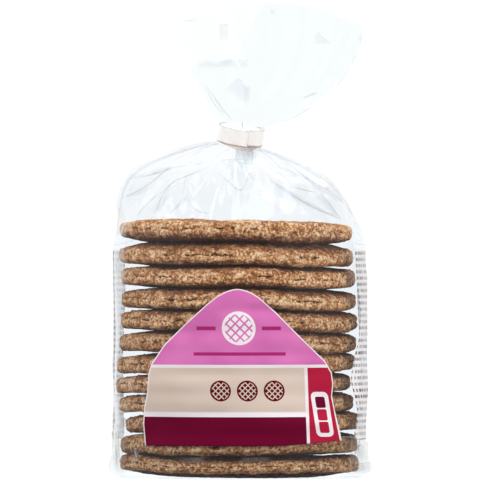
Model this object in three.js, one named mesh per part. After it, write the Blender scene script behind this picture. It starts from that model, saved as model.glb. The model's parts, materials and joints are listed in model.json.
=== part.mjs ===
// A clear, gusseted bag that holds a stack of twelve stroopwafels. The film stands squarely round the
// stack, slopes up to a gathered neck with a paper tape wrapped round it, and fans out above the tape.
// A bell-shaped label covers the middle of the front. The filled bag is one solid out to its film, and
// the grooves across its front and back are where the film dips between the waffles.
//
// Millimetres, +Z up. The origin is the centre of the footprint, on the surface that the bag stands on.
// The labelled front faces -Y.
import * as THREE from 'three';

// The stack
const WAFFLE_RADIUS = 46;
const WAFFLE_COUNT = 12;
const WAFFLE_PITCH = 8.4; // one waffle and the gap above it
const STACK_BASE = 1.2; // folded film under the stack

// The film round the stack, seen from above: it touches the waffles at front and back, and stands off
// them at four creases and in the middle of each side.
const FILM_CLEARANCE = 0.6;
const CONTACT_RADIUS = WAFFLE_RADIUS + FILM_CLEARANCE;
const HALF_WIDTH = 49.8; // to the middle of a side panel
const CREASE = { x: 45.8, y: 22 }; // where the front and side panels meet
const GROOVE_DEPTH = 1.4; // how far the film dips between two waffles

// The bottom edge: rounded, with the folded gusset standing proud just above it
const EDGE = { proud: 1.8, height: 4, reach: 6, rounding: 5 };

// The shoulder, from the stack up to the neck. A fullness of 1 is a straight slope, and more is a fuller
// bulge.
const SHOULDER = {
  frontHeight: 100.5,
  sideHeight: 88,
  squeezeFrom: 66,
  frontFullness: 1.2,
  leftFullness: 2.6,
  rightFullness: 1.6,
  pleats: 16,
  pleatDepth: 1.6,
  rows: 10,
};

// The gathered neck and the tape round it, both leaning a little to the front and dipping to the right
const NECK = { halfWidth: 8.2, halfDepth: 5.6, height: 135, halfLength: 4.4, lean: 0.17, dip: 0.09 };
const TAPE = { gap: 0.35, thickness: 0.7, height: 7, overlap: 1.5, segments: 48 };

// The fan of loose film above the tape. Left and right are as seen from the front.
const FAN = {
  left: 23.7,
  right: 48.2,
  peak: { x: 12, height: 187.6, leftFall: 0.006, rightFall: 0.007 },
  halfDepth: 9,
  pleats: 8,
  pleatDepth: 4,
  lip: { x: 4, drop: 20, reach: 7 }, // the front ply is lower on the left
  rows: 11,
};

// The label, measured up from the floor and out from its own centre line. It sits a little askew.
const LABEL = {
  x: 0.4,
  tilt: 0.028,
  bottom: 13.2,
  shoulder: 43.5,
  top: 75,
  bottomHalfWidth: 38.9,
  shoulderHalfWidth: 35.4,
  apexRadius: 10.5,
  gap: 0.35,
  thickness: 0.4,
  rows: 30,
  columns: 18,
};

// Points round the film, all in one quarter: from the middle of a side to the crease, and on to the front
const SIDE_STEPS = 5;
const FRONT_STEPS = 11;
const QUARTER = SIDE_STEPS + FRONT_STEPS;
const AROUND = 4 * QUARTER;

const { lerp, smoothstep } = THREE.MathUtils;

// ---- The film round the stack

// A point of the plan's first quarter: the bowed side, the flat run off the crease, then the round front.
function quarterPoint(step) {
  if (step <= SIDE_STEPS) {
    const along = step / SIDE_STEPS;
    return { x: HALF_WIDTH - (HALF_WIDTH - CREASE.x) * along ** 2, y: CREASE.y * along };
  }
  const creaseAngle = Math.atan2(CREASE.y, CREASE.x);
  const tangentAngle = creaseAngle + Math.acos(CONTACT_RADIUS / Math.hypot(CREASE.x, CREASE.y));
  const flatSteps = 5;
  const past = step - SIDE_STEPS;
  if (past < flatSteps) {
    const along = past / flatSteps;
    return {
      x: lerp(CREASE.x, CONTACT_RADIUS * Math.cos(tangentAngle), along),
      y: lerp(CREASE.y, CONTACT_RADIUS * Math.sin(tangentAngle), along),
    };
  }
  const angle = lerp(tangentAngle, Math.PI / 2, (past - flatSteps) / (FRONT_STEPS - flatSteps));
  return { x: CONTACT_RADIUS * Math.cos(angle), y: CONTACT_RADIUS * Math.sin(angle) };
}

// The plan's point k, counted anticlockwise from the middle of the right side. The back comes first.
function planPoint(k) {
  const quarter = Math.floor(k / QUARTER) % 4;
  const step = k % QUARTER;
  const { x, y } = quarterPoint(quarter % 2 ? QUARTER - step : step);
  return { x: quarter === 1 || quarter === 2 ? -x : x, y: quarter > 1 ? -y : y };
}

// A wave with this many crests round the film, for pleats
const wave = (k, crests) => Math.cos((2 * Math.PI * k * crests) / AROUND);

// 0 on the front and back, 1 in the middle of a side
const sideness = (x) => smoothstep(Math.abs(x) / HALF_WIDTH, 0.5, 1);

const bodyTop = (x) => lerp(SHOULDER.frontHeight, SHOULDER.sideHeight, sideness(x));

// How far the film stands out near the floor
function edgeSpread(z) {
  const proud = EDGE.proud * Math.exp(-(((z - EDGE.height) / EDGE.reach) ** 2));
  return proud - EDGE.rounding * Math.max(0, 1 - z / EDGE.height) ** 2;
}

// A row of the film round the stack. level is its height where the film touches the waffles, and the rows
// draw together towards the lower top of the side panels.
function bodyRow(level, groove) {
  return (k) => {
    const { x, y } = planPoint(k);
    const { squeezeFrom, frontHeight } = SHOULDER;
    const raised = Math.max(0, level - squeezeFrom) / (frontHeight - squeezeFrom);
    const z = Math.min(level, squeezeFrom) + raised * (bodyTop(x) - squeezeFrom);
    const facing = 1 - smoothstep(Math.abs(x), CREASE.x * 0.3, CREASE.x);
    const scale = 1 + (edgeSpread(z) - groove * facing) / HALF_WIDTH;
    return new THREE.Vector3(x * scale, y * scale, z);
  };
}

function bodyRows() {
  const rows = [0, 0.9, 2.4, 4.2].map((level) => bodyRow(level, 0));
  for (let i = 0; i < WAFFLE_COUNT; i++) {
    const base = STACK_BASE + i * WAFFLE_PITCH;
    if (i > 0) rows.push(bodyRow(base, GROOVE_DEPTH), bodyRow(base + 0.24 * WAFFLE_PITCH, 0));
    if (i < WAFFLE_COUNT - 1) rows.push(bodyRow(base + 0.76 * WAFFLE_PITCH, 0));
  }
  rows.push(bodyRow(SHOULDER.frontHeight, 0));
  return rows;
}

// ---- The neck, and what leads to and from it

const neckTurn = new THREE.Euler(NECK.lean, NECK.dip, 0);
const neckCentre = new THREE.Vector3(0, 0, NECK.height);

const onNeck = (x, y, height) => new THREE.Vector3(x, y, height).applyEuler(neckTurn).add(neckCentre);

function neckRow(height) {
  return (k) => {
    const { x, y } = planPoint(k);
    const angle = Math.atan2(y / CONTACT_RADIUS, x / HALF_WIDTH);
    return onNeck(NECK.halfWidth * Math.cos(angle), NECK.halfDepth * Math.sin(angle), height);
  };
}

// A row of the shoulder, each point on its own curve from the top of the stack to the neck. The film's
// spare width lies in pleats that run up to the neck.
function shoulderRow(share) {
  const neck = neckRow(-NECK.halfLength);
  return (k) => {
    const { x, y } = planPoint(k);
    const side = sideness(x);
    const sideFullness = x < 0 ? SHOULDER.leftFullness : SHOULDER.rightFullness;
    const power = 2 / lerp(SHOULDER.frontFullness, sideFullness, side);
    const turn = (share * Math.PI) / 2;
    const end = neck(k);
    const out = Math.max(0, Math.cos(turn)) ** power;
    const up = Math.sin(turn) ** power;
    const pleat = SHOULDER.pleatDepth * Math.sin(Math.PI * share) * wave(k, SHOULDER.pleats);
    const scale = 1 + (pleat * (1 - side)) / HALF_WIDTH;
    const height = lerp(bodyTop(x), end.z, up);
    return new THREE.Vector3(lerp(end.x, x * scale, out), lerp(end.y, y * scale, out), height);
  };
}

function shoulderRows() {
  const rows = [];
  for (let j = 1; j < SHOULDER.rows; j++) rows.push(shoulderRow(j / SHOULDER.rows));
  return rows;
}

// ---- The fan

// The height of the film's top edge. It arches, and the front ply drops away on the left.
function fanTop(x, front) {
  const { peak, lip } = FAN;
  const fall = x < peak.x ? peak.leftFall : peak.rightFall;
  const drop = lip.drop * smoothstep(lip.x - x, -lip.reach, lip.reach) * front;
  return peak.height - fall * (x - peak.x) ** 2 - drop;
}

// A row of the fan. The left edge rises nearly straight, and the right edge swings out low and then up.
function fanRow(share) {
  const neck = neckRow(NECK.halfLength);
  return (k) => {
    const start = neck(k);
    const { x, y } = planPoint(k);
    const angle = Math.atan2(y / CONTACT_RADIUS, x / HALF_WIDTH);
    const across = Math.cos(angle);
    const turn = (share * Math.PI) / 2;
    const spreadRight = Math.sin(turn) ** 0.9;
    const riseRight = (1 - Math.cos(turn)) ** 0.75;
    const right = lerp(NECK.halfWidth, FAN.right, spreadRight);
    const left = -lerp(NECK.halfWidth, FAN.left, share ** 0.85);
    const wide = (across + 1) / 2;
    const fanX = lerp(left, right, wide);
    const pleat = FAN.pleatDepth * share * wave(k, FAN.pleats) * Math.abs(Math.sin(angle));
    const depth = lerp(NECK.halfDepth, FAN.halfDepth, share) * Math.sin(angle) + pleat;
    const front = smoothstep(-Math.sin(angle), 0, 0.5);
    const finalX = lerp(-FAN.left, FAN.right, wide);
    const rise = lerp(share, riseRight, smoothstep(wide, 0.5, 1));
    const z = lerp(start.z, fanTop(finalX, front), rise);
    return new THREE.Vector3(fanX, lerp(start.y, depth, smoothstep(share, 0, 0.3)), z);
  };
}

function fanRows() {
  const rows = [];
  for (let j = 1; j <= FAN.rows; j++) rows.push(fanRow(j / FAN.rows));
  return rows;
}

// ---- Closed meshes from rows of points

// A skin between rings of points, closed at both ends by strips from its back points to its front points
function loft(rings) {
  const count = rings[0].length;
  const positions = rings.flat().flatMap((p) => [p.x, p.y, p.z]);
  const faces = [];
  for (let j = 0; j + 1 < rings.length; j++) {
    for (let k = 0; k < count; k++) {
      const a = j * count + k;
      const b = j * count + ((k + 1) % count);
      faces.push(a, b, b + count, a, b + count, a + count);
    }
  }
  const close = (ring, up) => {
    const at = (k) => ring * count + (k % count);
    const add = (a, b, c) => faces.push(at(a), at(up ? b : c), at(up ? c : b));
    for (let k = 0; k < count / 2; k++) {
      if (k > 0) add(k, count - k - 1, count - k);
      if (k + 1 < count / 2) add(k, k + 1, count - k - 1);
    }
  };
  close(0, false);
  close(rings.length - 1, true);
  const geometry = new THREE.BufferGeometry();
  geometry.setAttribute('position', new THREE.Float32BufferAttribute(positions, 3));
  geometry.setIndex(faces);
  geometry.computeVertexNormals();
  return geometry;
}

function filledBag() {
  const neckRows = [neckRow(-NECK.halfLength), neckRow(NECK.halfLength)];
  const rows = [...bodyRows(), ...shoulderRows(), ...neckRows, ...fanRows()];
  return loft(rows.map((row) => Array.from({ length: AROUND }, (_, k) => row(k))));
}

// ---- The tape

// The tape seen from above: an oval ring, twice as thick where its end laps over its start.
function tapeGeometry() {
  const inner = { x: NECK.halfWidth + TAPE.gap, y: NECK.halfDepth + TAPE.gap };
  const oval = (grow, i) => {
    const angle = (i / TAPE.segments) * 2 * Math.PI - Math.PI / 2;
    return new THREE.Vector2((inner.x + grow) * Math.cos(angle), (inner.y + grow) * Math.sin(angle));
  };
  const lapped = Math.round((TAPE.overlap / (2 * Math.PI)) * TAPE.segments);
  const outer = [];
  for (let i = 0; i <= TAPE.segments; i++) {
    if (i === 0 || i === lapped) outer.push(oval(i === 0 ? TAPE.thickness : 2 * TAPE.thickness, i));
    if (i < TAPE.segments) outer.push(oval(i < lapped ? 2 * TAPE.thickness : TAPE.thickness, i));
  }
  const shape = new THREE.Shape(outer);
  shape.holes.push(new THREE.Path(Array.from({ length: TAPE.segments }, (_, i) => oval(0, i))));
  const geometry = new THREE.ExtrudeGeometry(shape, { depth: TAPE.height, bevelEnabled: false });
  return geometry.translate(0, 0, -TAPE.height / 2);
}

// ---- The label

// Half the label's width at a height: nearly upright sides, then 45 degree slopes up to a round top.
function labelHalfWidth(z) {
  const { bottom, shoulder, top, apexRadius, bottomHalfWidth, shoulderHalfWidth } = LABEL;
  const upright = lerp(bottomHalfWidth, shoulderHalfWidth, (z - bottom) / (shoulder - bottom));
  if (z <= shoulder) return upright;
  const round = Math.sqrt(Math.max(0, apexRadius ** 2 - (z - (top - apexRadius)) ** 2));
  const tangentZ = top - apexRadius + apexRadius * Math.SQRT1_2;
  const tangentWidth = apexRadius * Math.SQRT1_2;
  if (z >= tangentZ) return round;
  return lerp(shoulderHalfWidth, tangentWidth, (z - shoulder) / (tangentZ - shoulder));
}

// The film's depth at x, in front of the stack
function frontDepth(x) {
  const { x: tangentX, y: tangentY } = quarterPoint(SIDE_STEPS + 5);
  const out = Math.abs(x);
  if (out <= tangentX) return Math.sqrt(CONTACT_RADIUS ** 2 - out ** 2);
  return lerp(tangentY, CREASE.y, (out - tangentX) / (CREASE.x - tangentX));
}

function labelGeometry() {
  const { rows, columns, bottom, top, shoulder, gap, thickness, tilt } = LABEL;
  const middle = (bottom + top) / 2;
  const ring = (height) => {
    const half = Math.max(labelHalfWidth(height), 0.8);
    const point = (column, offset) => {
      const across = lerp(-half, half, column / columns);
      const up = height - middle;
      const x = LABEL.x + across * Math.cos(tilt) - up * Math.sin(tilt);
      const z = middle + across * Math.sin(tilt) + up * Math.cos(tilt);
      const film = frontDepth(x) * (1 + edgeSpread(z) / HALF_WIDTH);
      return new THREE.Vector3(x, -film - gap - offset, z);
    };
    const front = Array.from({ length: columns + 1 }, (_, i) => point(i, thickness));
    const back = Array.from({ length: columns + 1 }, (_, i) => point(columns - i, 0));
    return [...back, ...front];
  };
  // One row lies on the shoulder, where the outline turns. Those above it gather towards the round top.
  const rowsBelow = Math.round(rows * 0.4);
  const rowsAbove = rows - rowsBelow;
  const below = Array.from({ length: rowsBelow }, (_, i) => lerp(bottom, shoulder, i / rowsBelow));
  const above = Array.from({ length: rowsAbove + 1 }, (_, i) =>
    lerp(shoulder, top, Math.sin(((i / rowsAbove) * Math.PI) / 2)),
  );
  return loft([...below, ...above].map(ring));
}

// ---- The object

function piece(name, geometry, color, roughness) {
  const material = new THREE.MeshStandardMaterial({ color, roughness, metalness: 0 });
  const mesh = new THREE.Mesh(geometry, material);
  mesh.name = name;
  return mesh;
}

const pack = new THREE.Group();
pack.add(piece('filled_bag', filledBag(), 0xb07f52, 0.35));
pack.add(piece('front_label', labelGeometry(), 0xc66ba4, 0.45));

const tape = piece('neck_tape', tapeGeometry(), 0xf3f3ef, 0.6);
tape.position.copy(neckCentre);
tape.rotation.copy(neckTurn);
pack.add(tape);

export default pack;
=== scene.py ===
"""A clear bag of stroopwafels: twelve filled waffles in gusseted film, with a label, a gathered neck and a tape."""

import functools
import json
import math

import bpy
import numpy as np
from bpy.props import FloatProperty, FloatVectorProperty, IntProperty, PointerProperty
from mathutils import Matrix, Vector

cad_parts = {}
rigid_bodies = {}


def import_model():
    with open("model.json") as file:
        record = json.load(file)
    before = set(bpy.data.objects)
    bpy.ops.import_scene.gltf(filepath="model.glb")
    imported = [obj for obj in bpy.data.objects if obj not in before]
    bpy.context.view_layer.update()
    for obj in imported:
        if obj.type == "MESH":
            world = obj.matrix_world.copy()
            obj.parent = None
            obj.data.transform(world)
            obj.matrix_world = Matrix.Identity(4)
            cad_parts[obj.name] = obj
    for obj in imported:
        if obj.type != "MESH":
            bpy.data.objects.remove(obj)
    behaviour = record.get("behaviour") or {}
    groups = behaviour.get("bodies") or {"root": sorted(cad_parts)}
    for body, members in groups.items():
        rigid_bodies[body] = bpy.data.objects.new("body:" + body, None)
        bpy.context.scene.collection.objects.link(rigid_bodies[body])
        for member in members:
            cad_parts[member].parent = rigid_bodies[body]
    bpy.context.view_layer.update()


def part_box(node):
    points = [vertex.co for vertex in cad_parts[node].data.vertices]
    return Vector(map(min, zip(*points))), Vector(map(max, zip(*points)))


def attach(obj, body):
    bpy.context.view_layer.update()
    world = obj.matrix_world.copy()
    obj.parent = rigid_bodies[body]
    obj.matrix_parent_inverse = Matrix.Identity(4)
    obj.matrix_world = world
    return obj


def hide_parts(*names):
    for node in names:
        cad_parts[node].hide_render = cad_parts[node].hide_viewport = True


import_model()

bl_info = {
    "name": "Bag of Stroopwafels",
    "version": (1, 0, 0),
    "blender": (4, 5, 0),
    "location": "View3D > Sidebar > Stroopwafels",
    "description": "Builds a clear film bag of caramel waffles, piece by piece",
    "category": "Mesh",
}

MM = 0.001  # sizes below are in millimetres unless a name says otherwise

BAG_LOW, BAG_HIGH = (np.array(corner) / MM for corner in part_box("filled_bag"))
LABEL_LOW, LABEL_HIGH = (np.array(corner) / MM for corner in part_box("front_label"))
TAPE_LOW, TAPE_HIGH = (np.array(corner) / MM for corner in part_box("neck_tape"))

# ---- The stack

WAFFLE_RADIUS = 46.0
# Each waffle from the top down: how far it has slid to the right, the height of its middle, and how much lower
# its right side lies than its left
WAFFLE_PLACES = (
    (-1.6, 98.2, 1.5),
    (-1.6, 87.9, 1.2),
    (-0.7, 79.4, 1.2),
    (-0.5, 70.6, 1.3),
    (-0.3, 62.3, 1.3),
    (-0.8, 53.8, 0.8),
    (-1.6, 45.6, -1.2),
    (-2.7, 37.6, -1.2),
    (-1.4, 29.8, -1.0),
    (1.1, 22.1, -1.7),
    (-0.4, 13.6, -0.6),
    (-0.2, 5.3, 0.5),
)

# How much wider each one has spread to the sides
WIDTHS = (0.993, 1.0, 1.0, 1.0, 1.01, 1.01, 1.018, 1.004, 1.0, 1.0, 1.012, 1.02)

# How much thicker than the others each one's edge is, and how far its upper wafer hangs at the sides
EDGES = ((0.5, 1.9), (0.1, 0.7), (0.0, 0.1), (0.1, 0.7), (0.1, 0.4), (0.1, 0.6), (-0.1, 0.4), (-0.2, 0.4), (-0.2, 0.3),
         (-0.1, 0.5), (0.25, 0.5), (-0.95, -1.7))

# How bright each one's colour is painted, from the top down. It falls towards the bottom: painted shade where less
# light reaches the lower waffles, over each one's own bake.
BAKES_AND_SHADE = (1.0, 0.97, 1.02, 0.94, 0.90, 0.80, 0.82, 0.80, 0.74, 0.72, 0.70, 0.72)

# How dark each one's edge is painted on its upper and its lower side: partly toasting, and partly painted shade where
# the waffle above overhangs
TOASTS_AND_SHADE = ((0.05, 0.80), (0.55, 0.0), (0.45, 0.0), (0.65, 0.0), (0.60, 0.0), (0.50, 0.0), (0.45, 0.05),
          (0.55, 0.0), (0.50, 0.0), (0.50, 0.10), (0.45, 0.15), (0.70, 0.2))

# ---- The film

CONTACT_RADIUS = 46.9  # where the film lies on the waffles
HALF_WIDTH = 49.8  # to the middle of a side panel
CREASE_RADIUS = 50.6  # from the stack's axis to a crease
# Where the front creases run, as (height, distance to the side)
RIGHT_CREASE = ((0, 47.5), (12, 46.0), (18, 44.2), (21, 45.2), (26, 45.9), (32, 45.3), (37, 43.8), (40, 43.6),
                (47, 44.8), (55, 46.3), (64, 46.6), (75, 46.2), (85, 45.5), (91, 45.1), (104, 44.0))
LEFT_CREASE = ((0, 47.5), (12, 48.6), (17, 47.6), (22, 44.8), (30, 47.4), (38, 48.8), (50, 47.3), (70, 46.6),
               (90, 46.2), (104, 45.0))
BACK_CREASE = ((0, 47.0), (20, 45.8), (45, 46.6), (70, 45.4), (104, 45.8))
FRONT_TOP = 100.5  # where the film leaves the stack, in front
SIDE_TOP = 92.0  # and at the sides
EDGE = {"proud": 1.8, "height": 4.0, "reach": 6.0, "rounding": 3.2}

# The shoulder's outline on each side, as (distance from the axis, height), from the stack up to the neck
LEFT_SHOULDER = ((49.8, 92), (48.6, 98), (46.6, 108), (44.4, 115.0), (40.6, 120.6), (33.4, 125.2), (25.0, 128.8),
                 (16.0, 131.4), (8.2, 132.5))
RIGHT_SHOULDER = ((49.8, 92), (48.2, 97), (45.6, 102.5), (41.5, 109.2), (35.6, 115.4), (27.4, 121.8), (19.0, 126.6),
                  (12.5, 129.6), (8.2, 131))
FRONT_SHOULDER = ((46.9, 100.5), (45.6, 103.6), (40.0, 109.5), (31.0, 117), (20.5, 124), (11.5, 129), (5.6, 131))

# Folds in the front of the shoulder and at the bottom corners. Each is a line of (x, z) points on the front, how
# high it stands, and how far its two slopes reach, to the left of the line's direction and to the right.
FRONT_FOLDS = (
    (((-46.4, 110.6), (-36.9, 117.1), (-26.7, 123.2), (-21.3, 123.4)), 1.6, 3.0, 8.0),
    (((-43.4, 119.0), (-28.2, 122.4)), 1.2, 3.0, 4.0),
    (((-36.9, 114.0), (-28.9, 117.1), (-17.5, 120.9)), 1.3, 5.0, 3.0),
    (((-33.4, 103.7), (-28.9, 112.9), (-27.0, 117.1)), 1.5, 7.0, 2.5),
    (((-27.8, 104.1), (-23.6, 109.8), (-22.9, 112.9)), 1.6, 3.0, 5.0),
    (((-22.5, 114.4), (-21.7, 109.0), (-17.5, 104.5)), -1.3, 3.0, 6.0),
    (((-8.4, 119.7), (0.4, 112.9), (3.0, 120.5)), 1.5, 4.0, 3.0),
    (((-0.8, 125.4), (4.6, 120.5), (8.8, 113.6)), -1.2, 5.0, 3.0),
    (((6.1, 121.2), (12.9, 117.4), (19.8, 115.1), (28.9, 113.2), (36.6, 107.5), (40.7, 101.8)), 1.7, 5.0, 3.5),
    (((13.7, 116.7), (25.9, 109.0), (34.3, 103.7), (40.7, 101.6)), -1.5, 3.0, 7.0),
    (((16.7, 122.7), (22.9, 119.7), (29.7, 117.1), (36.6, 112.9), (41.1, 109.8)), 1.4, 3.0, 4.0),
    (((31.2, 112.9), (39.6, 102.3)), 1.1, 2.0, 3.0),
    (((-41.7, 11.5), (-39.2, 5.9)), 1.1, 2.0, 2.0),
    (((-49.0, 15.8), (-44.4, 22.1), (-47.6, 30.5)), 1.2, 3.0, 2.5),
    (((44.8, 8.7), (46.6, 14.6), (49.5, 4.5)), 1.4, 3.0, 3.0),
)

# Pleats that lie folded over on the film. Each is four corners as (x, z), the first two on its folded edge.
SHOULDER_PLEATS = (
    ((0.0, 130.7), (6.3, 130.7), (7.0, 124.0), (0.8, 123.6)),
    ((-8.7, 125.5), (4.0, 126.3), (1.6, 113.6), (0.8, 113.0)),
    ((-46.4, 110.5), (-35.8, 115.9), (-36.4, 112.4), (-37.1, 112.1)),
    ((-43.4, 119.0), (-26.6, 123.2), (-26.8, 121.2), (-42.6, 116.9)),
    ((-28.2, 116.7), (-33.6, 104.6), (-30.4, 104.6), (-24.5, 117.6)),
    ((-27.4, 104.5), (-20.1, 112.9), (-21.3, 108.2), (-24.0, 106.3)),
    ((12.2, 117.7), (25.7, 110.1), (23.7, 107.4), (14.2, 114.5)),
    ((23.7, 110.9), (40.3, 101.9), (30.8, 105.0), (22.1, 108.6)),
    ((31.2, 112.9), (39.5, 102.3), (37.1, 102.3), (28.8, 111.3)),
    ((22.9, 121.2), (40.7, 109.0), (38.7, 108.2), (22.1, 119.2)),
)
FAN_PLEATS = (
    ((-19.3, 164.6), (5.0, 165.5), (4.0, 161.5), (-17.5, 161.0)),
    ((-9.5, 165.9), (-1.6, 166.0), (-4.7, 161.9), (-8.3, 161.9)),
    ((-1.3, 158.4), (3.9, 155.0), (2.6, 145.2), (-7.4, 153.0)),
    ((0.8, 154.8), (4.3, 154.8), (3.9, 146.9), (2.0, 146.9)),
    ((-14.6, 157.1), (-5.3, 143.7), (-7.0, 143.7), (-13.0, 154.0)),
    ((30.4, 176.5), (36.3, 171.0), (28.0, 171.3), (29.0, 173.5)),
    ((24.5, 150.4), (30.4, 152.0), (30.2, 150.8), (24.7, 149.2)),
)
CORNER_PLEATS = (
    ((-50.8, 19.0), (-47.4, 18.0), (-46.6, 2.0), (-50.6, 3.0)),
    ((-41.7, 12.2), (-40.4, 12.4), (-38.2, 6.0), (-39.8, 5.4)),
    ((-48.8, 27.0), (-44.4, 23.4), (-44.8, 20.6), (-48.6, 18.5)),
    ((39.5, 17.0), (46.6, 16.8), (46.0, 10.6), (40.0, 10.6)),
    ((46.2, 16.0), (50.8, 14.6), (50.6, 5.5), (45.2, 6.0)),
    ((43.4, 6.6), (51.9, 6.6), (51.4, 1.4), (45.0, 1.8)),
)
# Tight creases, each a line of (x, z) points
SHOULDER_CREASES = (
    ((-46.4, 110.3), (-35.8, 115.7), (-28.4, 122.4), (-21.3, 123.2)),
    ((-43.4, 118.2), (-32.0, 120.2), (-26.6, 123.2)),
    ((-33.6, 104.6), (-28.4, 116.4), (-18.3, 120.2), (-13.0, 122.6)),
    ((-27.4, 104.3), (-24.0, 107.9), (-22.3, 112.9), (-21.5, 118.6)),
    ((-20.9, 111.9), (-19.3, 107.6), (-16.4, 105.0), (-11.8, 104.4)),
    ((-8.4, 120.4), (-4.0, 116.4), (0.4, 112.7), (2.4, 116.4), (4.2, 122.0)),
    ((12.2, 117.4), (25.9, 108.1), (39.6, 102.1)),
    ((19.7, 115.1), (24.6, 113.9), (29.6, 112.7)),
    ((31.6, 112.9), (39.7, 102.3)),
    ((17.2, 122.2), (29.6, 117.0), (38.1, 111.6), (40.9, 108.4)),
    ((13.4, 121.4), (17.4, 119.6), (21.3, 119.2), (25.0, 119.8)),
    ((-2.4, 126.0), (3.2, 121.0), (6.8, 115.8), (8.4, 109.6)),
    ((-40.2, 103.6), (-37.0, 108.4), (-31.0, 112.8)),
)
FAN_CREASES = (
    ((-22.7, 180.2), (-20.1, 180.8), (-17.0, 180.6)),
    ((-13.8, 154.6), (-10.2, 147.6), (-6.4, 143.0)),
    ((-11.6, 153.0), (-8.2, 147.2), (-3.4, 141.6)),
    ((24.9, 150.0), (27.6, 151.4), (31.6, 152.4)),
)
CORNER_CREASES = (
    ((-41.7, 12.0), (-40.6, 9.2), (-39.0, 5.6)),
    ((-50.4, 18.0), (-48.8, 12.0), (-48.4, 5.0)),
    ((44.8, 8.7), (46.8, 14.2), (49.6, 12.4)),
    ((49.4, 22.0), (47.0, 16.4), (46.4, 11.0)),
)
BACK_PLY_PLEATS = (
    ((-8.7, 179.6), (-4.3, 179.6), (-4.7, 171.0), (-7.9, 171.0)),
    ((11.8, 186.0), (14.2, 185.4), (13.4, 182.0), (11.8, 183.0)),
)

NECK = {"half_width": 8.2, "half_depth": 5.6, "height": 135.5, "half_length": 4.4, "lean": 0.20, "dip": 0.15}

GATHER = (-11.0, 4.6)  # how far the gathered film reaches along the neck, from the tape's middle

FAN_LEFT, FAN_RIGHT = 23.7, 48.2
FAN_PEAK = {"x": 12.0, "height": 187.6, "left_fall": 0.006, "right_fall": 0.0071}
FAN_LIP = {"x": 4.0, "drop": 20.0, "reach": 7.0}

# ---- The label, measured up from the floor

LABEL_BOTTOM, LABEL_SHOULDER, LABEL_TOP = 13.4, 45.4, 74.9
# The label's sides, as (height, x). They waver where the film dips in between waffles.
LABEL_LEFT = ((13.4, -37.3), (21.8, -38.0), (27.6, -37.7), (34.4, -36.4), (41.8, -35.9), (45.5, -34.7), (53.0, -29.7),
              (61.2, -21.4), (68.7, -13.2), (72.0, -9.1), (73.8, -5.7), (74.6, -3.3), (74.9, -1.2))
LABEL_RIGHT = ((13.4, 40.0), (14.9, 39.7), (25.2, 37.6), (32.7, 36.1), (37.6, 36.6), (41.9, 36.0), (46.4, 33.5),
               (51.7, 28.1), (58.3, 21.4), (65.8, 14.0), (71.6, 7.4), (73.6, 4.2), (74.6, 1.2), (74.9, -0.9))
LABEL_FOOT = ((-38.0, 0.0), (15.0, 0.0), (40.0, 1.9))  # how far the bottom edge lies above its left end
COLUMN_LEAN = 0.036  # how far the print's upright line leans, to the right going down


def srgb(text, alpha=1.0):
    """A colour picker's hex value as the linear colour that Blender's sockets take."""
    channels = [int(text[i : i + 2], 16) / 255 for i in (1, 3, 5)]
    return (*(c / 12.92 if c <= 0.04045 else ((c + 0.055) / 1.055) ** 2.4 for c in channels), alpha)


def smoothstep(x, low, high):
    share = np.clip((x - low) / (high - low), 0.0, 1.0)
    return share * share * (3.0 - 2.0 * share)


def mix(a, b, share):
    return a + (b - a) * share


def track(points, at):
    """The second value of a list of pairs, read at a place between its first values."""
    places, values = zip(*points)
    return np.interp(at, places, values)


def grain(x, y, cell, seed):
    """Smooth noise from -1 to 1 over a plane, with features about as large as cell."""
    rng = np.random.default_rng(seed)
    side = 64
    lattice = rng.uniform(-1.0, 1.0, (side, side))
    u, v = np.asarray(x) / cell, np.asarray(y) / cell
    i, j = np.floor(u).astype(int), np.floor(v).astype(int)
    fu, fv = u - i, v - j
    fu, fv = fu * fu * (3 - 2 * fu), fv * fv * (3 - 2 * fv)
    at = lambda a, b: lattice[a % side, b % side]
    low = mix(at(i, j), at(i + 1, j), fu)
    high = mix(at(i, j + 1), at(i + 1, j + 1), fu)
    return mix(low, high, fv)


def crinkle(x, y, cell, seed):
    """Noise with sharp creases, as in film that has been folded and pulled flat again."""
    rng = np.random.default_rng(seed)
    total = np.zeros(np.broadcast(x, y).shape)
    for turn in rng.uniform(0, math.pi, 5):
        along = np.asarray(x) * math.cos(turn) + np.asarray(y) * math.sin(turn)
        across = np.asarray(y) * math.cos(turn) - np.asarray(x) * math.sin(turn)
        wander = grain(x, y, cell * 1.7, seed + 3) * cell * 0.5
        zigzag = np.abs(((along + wander) / cell) % 2.0 - 1.0) * 2.0 - 1.0
        total += zigzag * np.clip(grain(across, along, cell * 2.2, seed + 7) * 1.6, 0, 1)
    return total / 2.0


# ---- The film's shape, as rings of points


def crease_point(side, back, height):
    """The (x, y) of a crease at a height. side is 1 at the right and -1 at the left."""
    if back:
        out = track(BACK_CREASE, height) + 0.5 * side
    else:
        out = track(RIGHT_CREASE if side > 0 else LEFT_CREASE, height)
    depth = math.sqrt(max(CREASE_RADIUS**2 - out**2, 60.0))
    return np.array([side * out, depth if back else -depth])


def even(points, count):
    """count points evenly spaced along a line of points, leaving its last point to the next line."""
    points = np.asarray(points)
    steps = np.hypot(*np.diff(points, axis=0).T)
    length = np.concatenate([[0.0], np.cumsum(steps)])
    at = np.linspace(0.0, length[-1], count, endpoint=False)
    return np.stack([np.interp(at, length, points[:, i]) for i in (0, 1)], axis=1)


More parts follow.
